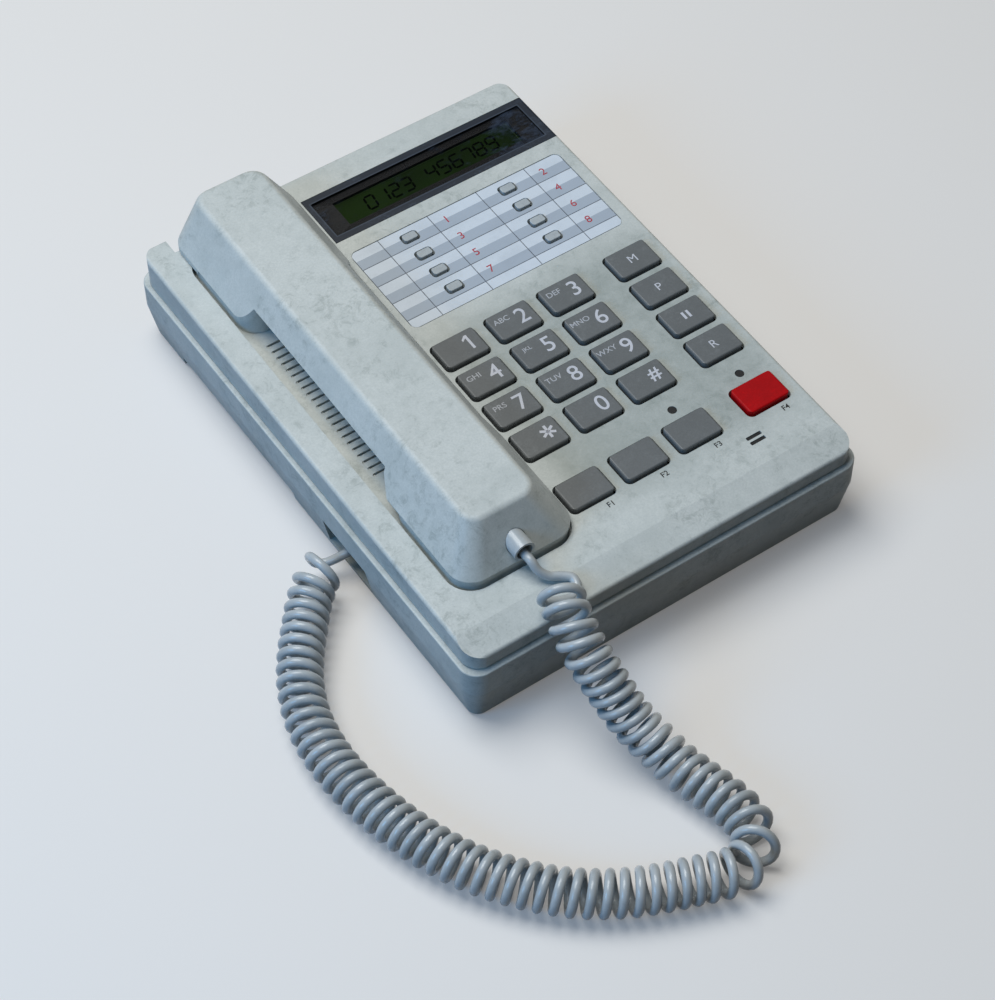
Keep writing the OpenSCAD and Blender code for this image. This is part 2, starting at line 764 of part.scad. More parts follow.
module display_bezel() {
    color(slate) difference() {
        intersection() {
            housing_envelope();
            on_deck() box(bezel_x0 + fit_gap, right_x + cut, bezel_y0 + fit_gap, bezel_y1 - fit_gap,
                -bezel_depth, cut);
        }
        on_deck() {
            pocket(window_x0, window_x1, bezel_y0 + bezel_frame, bezel_y1 - bezel_frame,
                bezel_floor - bezel_depth, cut, window_r);
            translate([window_x, bezel_y, -bezel_depth - cut]) slab(lcd_w, lcd_d, 3, 0.3);
        }
    }
}

module display_window() {
    color([0.3, 0.35, 0.4, 0.4]) on_deck()
        pocket(window_x0 + fit_gap, window_x1 - fit_gap, bezel_y0 + bezel_frame + fit_gap,
            bezel_y1 - bezel_frame - fit_gap,
            bezel_floor - bezel_depth, bezel_floor - bezel_depth + window_t, window_r - fit_gap);
}

module lcd_panel() {
    color(lcd_green) on_deck() translate([window_x, bezel_y, -deck_t - lcd_t])
        slab(lcd_w + 2 * lcd_frame, lcd_d + lcd_frame, lcd_t, 0.4);
}

module index_card() {
    color(paper) on_deck() difference() {
        pocket(card_x0 + fit_gap, card_x0 + card_w - fit_gap, card_y0 + fit_gap, card_y1 - fit_gap,
            -card_sink, card_t - card_sink, card_r - fit_gap);
        for (x = memory_x, y = memory_y) translate([x, y, 0]) key_hole(memory_w, memory_d, memory_r);
    }
}

module indicator_lenses() {
    color([0.05, 0.05, 0.06]) on_deck() for (x = [col_x[2], side_x]) translate([x, lamp_y, 0]) {
        translate([0, 0, -deck_t - 2.6]) cylinder(r = lamp_r, h = deck_t + 2.5, $fn = curve_fn);
        translate([0, 0, -deck_t - 2.6]) cylinder(r = lamp_r + 0.6, h = 2.3, $fn = curve_fn);
    }
}

module deck_microphone() {
    color([0.05, 0.05, 0.06]) on_deck() translate([mic_x, mic_y, -deck_t - mic_h]) difference() {
        cylinder(r = mic_r, h = mic_h, $fn = curve_fn);
        translate([0, 0, mic_h - mic_dish]) cylinder(r = mic_r - 0.6, h = cut, $fn = curve_fn);
    }
    color([0.05, 0.05, 0.06]) on_deck()
        for (s = [-1, 1]) translate([mic_x, mic_y + s * mic_slot_pitch / 2, -deck_t - 2 * mic_dish])
            slab(mic_slot_l - 2 * fit_gap, mic_slot_w - 2 * fit_gap, deck_t + 2 * mic_dish - mic_sink, 0.2);
}

module loudspeaker() {
    color([0.25, 0.25, 0.26]) on_deck() translate([handset_x, speaker_y, well_under])
        rotate_extrude($fn = curve_fn) polygon([
            [0, -speaker_depth - magnet_h], [magnet_r, -speaker_depth - magnet_h],
            [magnet_r, -speaker_depth], [speaker_r - 4, -speaker_rim - 1], [speaker_r, -speaker_rim],
            [speaker_r, 0], [speaker_r - 2, 0],
            [speaker_r - 3, -1.2], [6, -7], [0, -5]]);
}

module hook_plunger() {
    color(key_grey) on_deck() translate([handset_x, hook_y, 0]) {
        translate([0, 0, hook_bottom]) slab(hook_w, hook_d, lobe_bottom - seat_gap - hook_bottom, 2);
        translate([0, 0, hook_bottom])
            slab(hook_w + 2 * hook_flange, hook_d + 2 * hook_flange, hook_flange_t, 2 + hook_flange);
    }
}

module hook_switch() {
    pin_h = 0.4;
    color([0.12, 0.12, 0.13]) translate([handset_x, switch_y, switch_top_z - switch_h]) {
        translate([-switch_w / 2, -switch_d / 2, 0]) cube([switch_w, switch_d, switch_h - pin_h]);
        cylinder(r = 1.5, h = switch_h, $fn = curve_fn);
    }
}

// A modular socket block whose opening looks along -Y
module socket_block(w, h) {
    difference() {
        translate([-jack_w / 2, 0, -jack_h / 2]) cube([jack_w, jack_l, jack_h]);
        translate([-w / 2, -cut, -h / 2]) cube([w, socket_l + cut, h]);
        translate([-1.8, -cut, -h / 2 - 1.6]) cube([3.6, socket_l + cut, 2]);
    }
}

module handset_jack() {
    color([0.12, 0.12, 0.13]) translate([jack_face_x, jack_y, jack_z])
        rotate([0, 0, -90]) socket_block(socket_w, socket_h);
}

module line_jack() {
    color([0.12, 0.12, 0.13]) translate([line_x, line_face_y, jack_z]) rotate([0, 0, 180])
        socket_block(line_socket_w, line_socket_h);
}

module handset_plug() {
    body_w = socket_w - 2 * fit_gap;
    body_h = socket_h - 2 * fit_gap;
    color([0.75, 0.78, 0.8, 0.6]) translate([jack_face_x - plug_out, jack_y, jack_z]) {
        translate([0, -body_w / 2, -body_h / 2]) cube([plug_l, body_w, body_h]);
        translate([0.6, -1.5, -body_h / 2 - 1]) cube([plug_l - 3, 3, 1]);
    }
}

module handset_envelope() {
    mid = (handset_y0 + handset_y1) / 2;
    side = handset_w / 2 - handset_r;
    fall = top_round * tan(30);
    top_x = handset_top_w / 2 - fall - top_plan_r;
    top_y0 = handset_y0 + nose_back + fall + top_plan_r;
    top_y1 = handset_y1 - top_round - top_plan_r - 1;
    translate([handset_x, 0, 0]) hull() {
        for (sx = [-1, 1], y = [handset_y0 + handset_r, handset_y1 - handset_r])
            translate([sx * side, y, rim_h]) cylinder(r = handset_r, h = 0.4, $fn = 72);
        for (sx = [-1, 1], y = [top_y0, top_y1])
            translate([sx * top_x, y, handset_h - top_round])
                rotate_extrude($fn = 48) translate([top_plan_r, 0]) circle(top_round, $fn = 36);
    }
}

module handset_hollow() {
    inner_r = handset_r - handset_wall;
    side = handset_w / 2 - handset_r;
    top_in = 4.5;
    translate([handset_x, 0, 0]) hull() {
        for (sx = [-1, 1], y = [handset_y0 + handset_r, handset_y1 - handset_r])
            translate([sx * side, y, rim_h - cut]) cylinder(r = inner_r, h = cut, $fn = 24);
        for (sx = [-1, 1], y = [handset_y0 + nose_back + top_in, handset_y1 - top_in - 3])
            translate([sx * (handset_top_w / 2 - top_in), y, handset_h - handset_wall - 2])
                cylinder(r = 2.4, h = 2, $fn = 16);
    }
}

// The two ends below the grip, seen from above, from z0 to z1
module ear_end(z0, z1, in) {
    pocket(handset_x - handset_w / 2 + in, handset_x + handset_w / 2 - in, ear_y0 + in,
        handset_y1 + clear_cut, z0, z1,
        handset_r - in);
}

module mouth_end(z0, z1, in) {
    x0 = handset_x - handset_w / 2 + in;
    x1 = handset_x + handset_w / 2 - in;
    difference() {
        pocket(x0, x1, mouth_y0 - clear_cut, mouth_top_y - in, z0, z1, handset_r - in);
        across_grip() polygon([[mouth_y1 - in, rim_h], [mouth_y1 - in, -deck_h],
            [mouth_top_y + clear_cut, -deck_h],
            [mouth_top_y + clear_cut, grip_lift], [mouth_top_y - in, grip_lift]]);
    }
}

module across_grip() {
    translate([handset_x, 0, 0]) across(handset_w + 10) children();
}

module handset_posts(z0, z1) {
    for (y = handset_screw_y) translate([handset_x, y, z0])
        cylinder(r = handset_post_r, h = z1 - z0, $fn = curve_fn);
}

module handset_upper_shell() {
    color(shell_grey) on_deck() difference() {
        union() {
            difference() {
                intersection() {
                    handset_envelope();
                    union() {
                        box(handset_x - handset_w, handset_x + handset_w, handset_y0 - 5, handset_y1 + 5,
                            grip_lift, 2 * handset_h);
                        ear_end(rim_h, grip_lift + cut, 0);
                        mouth_end(rim_h, grip_lift + cut, 0);
                    }
                }
                handset_hollow();
            }
            handset_posts(grip_lift + grip_floor_t, handset_h - 1.5);
        }
        for (y = handset_screw_y) translate([handset_x, y, 0])
            cylinder(r = handset_screw_r + running_gap, h = handset_h - 2.5, $fn = curve_fn);
        translate([handset_x, boot_y0 - cut, boot_n]) rotate([-90, 0, 0])
            cylinder(r = boot_r + fit_gap, h = boot_l - 2, $fn = curve_fn);
    }
}

// One cup of the lower shell with a ring of sound holes
module cup(y0, y1, hole_y, ring_r) {
    x0 = handset_x - handset_w / 2 + cup_in;
    x1 = handset_x + handset_w / 2 - cup_in;
    r = handset_r - cup_in;
    difference() {
        pocket(x0, x1, y0, y1, lobe_bottom, rim_h, r);
        pocket(x0 + handset_wall, x1 - handset_wall, y0 + handset_wall, y1 - handset_wall,
            lobe_bottom + grip_floor_t, deck_h, r - handset_wall);
        for (k = [0:5]) translate([handset_x + ring_r * cos(60 * k), hole_y + ring_r * sin(60 * k),
            lobe_bottom - cut])
            cylinder(r = 1, h = 2 * cut + grip_floor_t, $fn = 24);
        translate([handset_x, hole_y, lobe_bottom - cut])
            cylinder(r = 1, h = 2 * cut + grip_floor_t, $fn = 24);
    }
}

// The floor of the grip and its two end walls, inside the upper shell
module grip_liner() {
    low = handset_w / 2 - handset_wall - face_gap;
    high = handset_top_w / 2 - 2.4;
    in = cup_in + handset_wall;
    top = grip_lift + grip_floor_t;
    intersection() {
        translate([handset_x, 0, 0]) along(3 * handset_l) polygon([
            [-low, lobe_bottom], [low, lobe_bottom], [low, rim_h], [high, handset_h - handset_wall],
            [-high, handset_h - handset_wall], [-low, rim_h]]);
        union() {
            box(handset_x - handset_w, handset_x + handset_w, mouth_top_y - in, ear_y0 + in,
                grip_lift, top);
            difference() {
                ear_end(rim_h - cut, top, cup_in);
                ear_end(-deck_h, deck_h, in);
                box(handset_x - handset_w, handset_x + handset_w, ear_y0 + handset_r, back_y + clear_cut,
                    -deck_h, deck_h);
            }
            difference() {
                mouth_end(rim_h - cut, top, cup_in);
                mouth_end(-deck_h, deck_h, in);
                box(handset_x - handset_w, handset_x + handset_w, front_y - clear_cut,
                    mouth_y1 - handset_r, -deck_h, deck_h);
            }
        }
    }
}

// The tail behind the ear cup, which lies over the bar of the base
module handset_tail() {
    in = cup_in + handset_wall;
    difference() {
        pocket(handset_x - handset_w / 2, handset_x + handset_w / 2, ear_y0, handset_y1, tail_under,
            rim_h, handset_r);
        box(handset_x - handset_w, handset_x + handset_w, ear_y0 - cut, ear_y1 - handset_r,
            -deck_h, deck_h);
        pocket(handset_x - handset_w / 2 + in, handset_x + handset_w / 2 - in, ear_y0,
            ear_y1 - handset_wall,
            -deck_h, deck_h, handset_r - in);
    }
}

module handset_lower_shell() {
    color(shell_grey) on_deck() difference() {
        union() {
            cup(mouth_y0 + cup_in, mouth_y1 - cup_in, mouth_mic_y, 5);
            cup(ear_y0 + cup_in, ear_y1, receiver_y, 8);
            grip_liner();
            handset_tail();
            handset_posts(lobe_bottom, grip_lift + grip_floor_t);
        }
        for (y = handset_screw_y) translate([handset_x, y, lobe_bottom - cut]) {
            cylinder(r = handset_screw_r + fit_gap, h = handset_h * 2, $fn = curve_fn);
            cylinder(r = handset_head_r + fit_gap, h = cut + handset_head_sink, $fn = curve_fn);
        }
    }
}

module handset_screws() {
    color(steel) on_deck() for (y = handset_screw_y)
        translate([handset_x, y, lobe_bottom + handset_head_sink - handset_head_h])
        screw_up(handset_screw_r, handset_head_r, handset_head_h,
            handset_h - handset_screw_end - lobe_bottom - handset_head_sink + handset_head_h);
}

module ear_receiver() {
    color([0.2, 0.2, 0.22]) on_deck() translate([handset_x, receiver_y, lobe_bottom + grip_floor_t])
        rotate_extrude($fn = curve_fn) polygon([[0, 0], [receiver_r, 0], [receiver_r, receiver_rim],
            [receiver_r - receiver_rim, receiver_cone], [receiver_r - receiver_neck, receiver_h],
            [0, receiver_h]]);
}

module mouth_microphone() {
    color(steel) on_deck() translate([handset_x, mouth_mic_y, lobe_bottom + grip_floor_t])
        rotate_extrude($fn = curve_fn) polygon([[0, 0], [mouth_mic_r, 0], [mouth_mic_r, mouth_mic_h - 2],
            [mouth_mic_r - 2, mouth_mic_h], [0, mouth_mic_h]]);
}

module handset_weight() {
    weight_w = 12;
    weight_l = 44;
    weight_h = 3;
    color(steel) on_deck() translate([handset_x, (mouth_top_y + ear_y0) / 2, grip_lift + grip_floor_t])
        slab(weight_w, weight_l, weight_h, 2);
}

module cord_boot() {
    color(cord_grey) on_deck() translate([handset_x, boot_y0, boot_n]) rotate([-90, 0, 0]) difference() {
        union() {
            cylinder(r = boot_r, h = boot_l, $fn = curve_fn);
            translate([0, 0, boot_l - 2]) cylinder(r = boot_r + boot_flange, h = 2, $fn = curve_fn);
        }
        translate([0, 0, -cut]) cylinder(r = boot_bore_r, h = boot_bore_l + cut, $fn = curve_fn);
    }
}

// Curly cord: a helix carried along a smooth curve through the route
function unit(v) = v / norm(v);
function smooth(t) = let (c = min(1, max(0, t))) c * c * (3 - 2 * c);
function spline(a, b, c, d, t) = 0.5 * (2 * b + (c - a) * t + (2 * a - 5 * b + 4 * c - d) * t * t
    + (3 * b - a - 3 * c + d) * t * t * t);
function along_points(p, steps) = [for (i = [0:len(p) - 2], k = [0:steps - 1])
    spline(p[max(i - 1, 0)], p[i], p[i + 1], p[min(i + 2, len(p) - 1)], k / steps)];
function running_sum(v) = [for (i = 0, s = 0; i < len(v); s = s + v[i], i = i + 1) s];
function segment_gap(p, a, b) =
    let (d = b - a, t = min(1, max(0, (p - a) * d / (d * d)))) norm(p - a - t * d);
function ring_frame(p, i, lean) =
    let (t = unit(p[min(i + 1, len(p) - 1)] - p[max(i - 1, 0)]), n = unit(lean - (lean * t) * t))
        [n, cross(t, n)];

module handset_cord() {
    steps = 12;
    radius = (coil_od - wire_d) / 2;
    start = deck_point([handset_x, boot_y0 - cord_mouth_gap, boot_n - cord_low]);
    end = [jack_face_x - plug_out, jack_y, jack_z];
    end_lead = end - [wire_d + plug_lead_extra, 0, 0];
    way = concat(route, [end_lead]);
    line = concat(along_points(way, steps), [end_lead]);
    last = len(line) - 1;
    tangent = [for (i = [0:last]) unit(line[min(i + 1, last)] - line[max(i - 1, 0)])];
    reach = 6;
    bending = [for (i = [0:last]) let (a = max(i - reach, 0), b = min(i + reach, last))
        norm(tangent[b] - tangent[a]) / norm(line[b] - line[a])];
    weight = [for (i = [0:last - 1])
        norm(line[i + 1] - line[i]) * max(tightest, 1 - bend_ease * radius * bending[i])];
    turns = curls / (running_sum(weight)[last - 1] + weight[last - 1]) * running_sum(concat(weight, [0]));
    side = [for (t = tangent) unit(cross([0, 0, 1], t))];
    count = curls * rings_per_curl;
    hits = [for (j = 0, i = 0; j <= count;
        j = j + 1, i = j > count ? i : next_index(turns, i, j / rings_per_curl, last)) i];
    ring_data = [for (j = [0:count]) let (
            turn = j / rings_per_curl,
            i = min(hits[j], last - 1),
            f = min(1, max(0, (turn - turns[i]) / (turns[i + 1] - turns[i]))),
            c = line[i] + f * (line[i + 1] - line[i]),
            s = unit(side[i] + f * (side[i + 1] - side[i])),
            t = unit(tangent[i] + f * (tangent[i + 1] - tangent[i])),
            a = first_turn - 360 * turn,
            lean = cos(a) * s + sin(a) * cross(t, s),
            r = radius * smooth((curls - turn) / lead_turns)) [c + r * lean, lean]];
    loose_way = concat([start], [for (p = loose_end) deck_point(p)], [ring_data[0][0], ring_data[1][0]]);
    loose_rings = (len(loose_way) - 2) * lead_steps;
    loose = along_points(loose_way, lead_steps);
    points = concat([for (i = [0:loose_rings - 1]) loose[i]], [for (d = ring_data) d[0]], [end]);
    leans = concat([for (i = [1:loose_rings]) ring_data[0][1]], [for (d = ring_data) d[1]],
        [ring_data[count][1]]);
    rings = len(points);
    gap = min([for (i = [0:rings - 7]) for (j = [i + 5:rings - 2])
        segment_gap(points[i], points[j], points[j + 1])]) - wire_d;
    length = running_sum([for (i = [0:rings - 1])
        i < rings - 1 ? norm(points[i + 1] - points[i]) : 0])[rings - 1];
    low = min([for (p = points) p[2]]) - wire_d / 2;
    echo(cord_least_gap = gap, cord_length = length, cord_lowest = low);
    skin = [for (i = [0:rings - 1]) let (f = ring_frame(points, i, leans[i])) for (k = [0:wire_sides - 1])
        points[i] + wire_d / 2 * (cos(360 * k / wire_sides) * f[0] + sin(360 * k / wire_sides) * f[1])];
    faces = concat(
        [for (i = [0:rings - 2], k = [0:wire_sides - 1]) let (m = (k + 1) % wire_sides)
            [i * wire_sides + k, i * wire_sides + m, (i + 1) * wire_sides + m]],
        [for (i = [0:rings - 2], k = [0:wire_sides - 1]) let (m = (k + 1) % wire_sides)
            [i * wire_sides + k, (i + 1) * wire_sides + m, (i + 1) * wire_sides + k]],
        [for (k = [1:wire_sides - 2]) [0, k + 1, k]],
        [for (k = [1:wire_sides - 2]) let (b = (rings - 1) * wire_sides) [b, b + k, b + k + 1]]);
    color(cord_grey) polyhedron(points = skin, faces = [for (f = faces) [f[0], f[2], f[1]]]);
}

// First index from i on whose running turn reaches the wanted one
function next_index(turns, i, want, last) = i >= last || turns[i + 1] >= want ? i
    : next_index(turns, i + 1, want, last);

base_tray();
top_housing();
rubber_feet();
housing_screws();
circuit_board();
board_screws();
key_mat();
display_bezel();
display_window();
lcd_panel();
index_card();
indicator_lenses();
deck_microphone();
loudspeaker();
hook_plunger();
hook_switch();
handset_jack();
line_jack();
handset_upper_shell();
handset_lower_shell();
ear_receiver();
mouth_microphone();
handset_weight();
handset_screws();
cord_boot();
handset_plug();
handset_cord();
for (i = [0:11]) large_key(col_x[i % 3], row_y[floor(i / 3)], key_grey);
for (i = [0:3]) large_key(side_x, row_y[i], key_grey);
for (i = [0:3]) large_key(i < 3 ? col_x[i] : side_x, function_y, i < 3 ? key_grey : key_red);
for (i = [0:7]) memory_key(i);
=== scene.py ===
"""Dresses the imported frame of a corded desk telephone: finishes, print, curly cord and studio."""
import json
import logging
import math
from dataclasses import dataclass
from enum import Enum
from typing import Dict, List, Optional, Sequence, Tuple, Union

import bmesh
import bpy
import numpy as np
from mathutils import Matrix, Vector


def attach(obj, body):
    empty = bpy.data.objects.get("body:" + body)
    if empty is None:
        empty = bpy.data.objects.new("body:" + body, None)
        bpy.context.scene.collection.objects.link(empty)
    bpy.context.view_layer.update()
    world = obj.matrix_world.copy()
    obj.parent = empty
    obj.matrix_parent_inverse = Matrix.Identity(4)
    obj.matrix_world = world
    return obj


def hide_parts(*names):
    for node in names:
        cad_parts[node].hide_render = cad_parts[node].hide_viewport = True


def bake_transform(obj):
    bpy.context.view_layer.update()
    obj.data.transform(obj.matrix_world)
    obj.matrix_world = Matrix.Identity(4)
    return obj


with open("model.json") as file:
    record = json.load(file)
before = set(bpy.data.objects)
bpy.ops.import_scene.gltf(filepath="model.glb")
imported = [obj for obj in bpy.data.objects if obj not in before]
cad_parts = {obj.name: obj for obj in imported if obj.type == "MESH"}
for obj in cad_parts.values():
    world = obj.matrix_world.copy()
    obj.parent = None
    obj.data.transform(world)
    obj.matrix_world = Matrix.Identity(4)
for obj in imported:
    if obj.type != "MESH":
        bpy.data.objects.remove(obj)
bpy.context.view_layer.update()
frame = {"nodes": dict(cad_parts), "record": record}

LOG = logging.getLogger("telephone")
MM = 0.001
RIGHT = (1.0, 0.0, 0.0)
BACK = (0.0, 1.0, 0.0)
UP = (0.0, 0.0, 1.0)

Colour = Tuple[float, float, float]
Point = Tuple[float, float, float]
Pair = Tuple[float, float]
Solid = Tuple[np.ndarray, List[List[int]]]
Material = bpy.types.Material
Socket = bpy.types.NodeSocket
Number = Union[int, float]
Operand = Union["Value", int, float]


def screen(red: int, green: int, blue: int) -> Colour:
    """Turns a colour of the screen, 0 to 255, into the linear one that shaders use.

    Args:
        red: Red part.
        green: Green part.
        blue: Blue part.

    Returns:
        The linear colour: v / 12.92 in the dark part, ((v + 0.055) / 1.055) ** 2.4 above it.
    """
    parts = np.array([red, green, blue], float) / 255.0
    linear = np.where(parts <= 0.04045, parts / 12.92, ((parts + 0.055) / 1.055) ** 2.4)
    return tuple(float(part) for part in linear)


class Slot(Enum):
    """The record's material slots."""

    SHELL = "shell_plastic"
    RUBBER = "foot_rubber"
    STEEL = "screw_steel"
    BOARD = "board"
    KEY = "key_plastic"
    RED = "red_plastic"
    BEZEL = "bezel_plastic"
    WINDOW = "window_glass"
    LCD = "lcd"
    CARD = "card_paper"
    BLACK = "black_plastic"
    CORD = "cord_vinyl"
    PLUG = "plug_plastic"


# Shader graph


class Value:
    """A number that varies over a surface: the socket that gives it, with Python's operators."""

    def __init__(self, graph: "Graph", socket: Socket) -> None:
        """Keeps the graph and the socket."""
        self.graph = graph
        self.socket = socket

    def math(self, operation: str, *others: Operand, swap: bool = False) -> "Value":
        """Adds one Math node.

        Args:
            operation: The node's operation.
            others: The other operands.
            swap: Whether this value is the second operand.

        Returns:
            The node's result.
        """
        operands = [self, *others]
        if swap:
            operands.reverse()
        node = self.graph.node("ShaderNodeMath", {"operation": operation}, dict(enumerate(operands)))
        return Value(self.graph, node.outputs[0])

    def __add__(self, other: Operand) -> "Value":
        """This plus the other."""
        return self.math("ADD", other)

    def __sub__(self, other: Operand) -> "Value":
        """This minus the other."""
        return self.math("SUBTRACT", other)

    def __rsub__(self, other: Operand) -> "Value":
        """The other minus this."""
        return self.math("SUBTRACT", other, swap=True)

    def __mul__(self, other: Operand) -> "Value":
        """This times the other."""
        return self.math("MULTIPLY", other)

    __radd__ = __add__
    __rmul__ = __mul__

    def __abs__(self) -> "Value":
        """The distance from nought."""
        return self.math("ABSOLUTE")

    def over(self, edge: Number) -> "Value":
        """One where this is more than the edge, else nought."""
        return self.math("GREATER_THAN", edge)

    def under(self, edge: Number) -> "Value":
        """One where this is less than the edge, else nought."""
        return self.math("LESS_THAN", edge)

    def most(self, other: Operand) -> "Value":
        """The larger of the two."""
        return self.math("MAXIMUM", other)

    def wrap(self, period: Number) -> "Value":
        """This within one period, from nought up."""
        return self.math("WRAP", period, 0.0)

    def band(self, low: Number, high: Number) -> "Value":
        """A smooth step from nought at low to one at high."""
        node = self.graph.node(
            "ShaderNodeMapRange",
            {"interpolation_type": "SMOOTHSTEP"},
            {0: self, 1: low, 2: high, 3: 0.0, 4: 1.0},
        )
        return Value(self.graph, node.outputs[0])


Input = Union[Value, Socket, Number, Sequence[float], bool]


class Graph:
    """The node tree of one material."""

    def __init__(self, name: str) -> None:
        """Makes the material with an empty tree."""
        self.material = bpy.data.materials.new(name)
        self.material.use_nodes = True
        self.tree = self.material.node_tree
        self.tree.nodes.clear()
        self._place: Optional[Socket] = None

    def node(
        self,
        kind: str,
        settings: Optional[Dict[str, object]] = None,
        inputs: Optional[Dict[Union[int, str], Input]] = None,
    ) -> bpy.types.Node:
        """Adds any node.

        Args:
            kind: The node's type.
            settings: Its own settings, set first.
            inputs: Values or links by socket name or index.

        Returns:
            The node.
        """
        made = self.tree.nodes.new(kind)
        for key, setting in (settings or {}).items():
            setattr(made, key, setting)
        for key, given in (inputs or {}).items():
            socket = made.inputs[key]
            if isinstance(given, Value):
                self.tree.links.new(given.socket, socket)
            elif isinstance(given, Socket):
                self.tree.links.new(given, socket)
            elif socket.type == "RGBA" and len(given) == 3:
                socket.default_value = (*given, 1.0)
            else:
                socket.default_value = given
        return made

    @property
    def place(self) -> Socket:
        """The object's own coordinates, in metres."""
        if self._place is None:
            self._place = self.node("ShaderNodeTexCoord").outputs["Object"]
        return self._place

    def along(self, direction: Point, start: Point = (0.0, 0.0, 0.0)) -> Value:
        """Distance in millimetres along a direction.

        Args:
            direction: Unit direction in the frame.
            start: The point where the distance is nought, in millimetres.

        Returns:
            dot(place, direction) * 1000 minus dot(start, direction).
        """
        node = self.node("ShaderNodeVectorMath", {"operation": "DOT_PRODUCT"}, {0: self.place, 1: direction})
        return Value(self, node.outputs["Value"]) * (1.0 / MM) - float(np.dot(start, direction))

    def mapped(self, shift: Point, size: float, stretch: Point = (1.0, 1.0, 1.0)) -> Socket:
        """The object's coordinates, scaled and moved for a pattern.

        Args:
            shift: How far the pattern is moved, in its own units.
            size: Size of the pattern in millimetres.
            stretch: How much denser it is along each axis.

        Returns:
            The coordinates' socket.
        """
        scale = 1.0 / (size * MM)
        inputs = {"Vector": self.place, "Location": shift, "Scale": tuple(scale * share for share in stretch)}
        return self.node("ShaderNodeMapping", {}, inputs).outputs[0]

    def noise(
        self,
        size: float,
        detail: float = 3.0,
        roughness: float = 0.55,
        shift: float = 0.0,
        stretch: Point = (1.0, 1.0, 1.0),
        bend: float = 0.0,
    ) -> Value:
        """Fractal noise on the object's coordinates.

        Args:
            size: Size of a patch in millimetres.
            detail: Number of finer layers.
            roughness: Strength of the finer layers.
            shift: Moves the pattern, so that two noises differ.
            stretch: How much denser the pattern is along each axis.
            bend: Distortion of the pattern.

        Returns:
            A value near 0.5.
        """
        place = self.mapped((shift, shift * 0.7, -shift), size, stretch)
        inputs = {"Vector": place, "Scale": 1.0, "Detail": detail, "Roughness": roughness, "Distortion": bend}
        return Value(self, self.node("ShaderNodeTexNoise", {}, inputs).outputs[0])

    def cells(self, size: float, shift: float = 0.0) -> Value:
        """Distance to the nearest of scattered points, in units of their spacing.

        Args:
            size: Spacing of the points in millimetres.
            shift: Moves the pattern.

        Returns:
            The distance.
        """
        place = self.mapped((shift, -shift, shift * 0.6), size)
        node = self.node("ShaderNodeTexVoronoi", {}, {"Vector": place, "Scale": 1.0})
        return Value(self, node.outputs["Distance"])

    def mix(self, factor: Input, first: Input, second: Input) -> Socket:
        """Mixes two colours.

        Args:
            factor: Share of the second.
            first: First colour.
            second: Second colour.

        Returns:
            The mixed colour's socket.
        """
        return self.node("ShaderNodeMix", {"data_type": "RGBA"}, {0: factor, 6: first, 7: second}).outputs[2]

    def bump(self, height: Value, strength: float, depth: float) -> Socket:
        """Raises a surface by a pattern.

        Args:
            height: The pattern, nought to one.
            strength: How much of it shows.
            depth: Height in millimetres.

        Returns:
            The normal's socket.
        """
        inputs = {"Height": height, "Strength": strength, "Distance": depth * MM}
        return self.node("ShaderNodeBump", {}, inputs).outputs[0]

    def principled(self, inputs: Dict[Union[int, str], Input]) -> Material:
        """Closes the tree with the standard surface shader.

        Args:
            inputs: The shader's inputs by name.

        Returns:
            The finished material.
        """
        shader = self.node("ShaderNodeBsdfPrincipled", {}, inputs)
        self.node("ShaderNodeOutputMaterial", {}, {"Surface": shader.outputs[0]})
        return self.material


def past_box(across: Value, back: Value, sides: Pair, ends: Pair) -> Value:
    """Distance outside a rectangle, below nought inside it.

    Args:
        across: Place from left to right.
        back: Place from front to back.
        sides: The rectangle's left and right.
        ends: Its front and back.

    Returns:
        The larger of |across - middle| - half the width and |back - middle| - half the depth.
    """
    past_side, past_end = (
        abs(place - 0.5 * (low + high)) - 0.5 * (high - low)
        for place, (low, high) in ((across, sides), (back, ends))
    )
    return past_side.most(past_end)


# Finishes


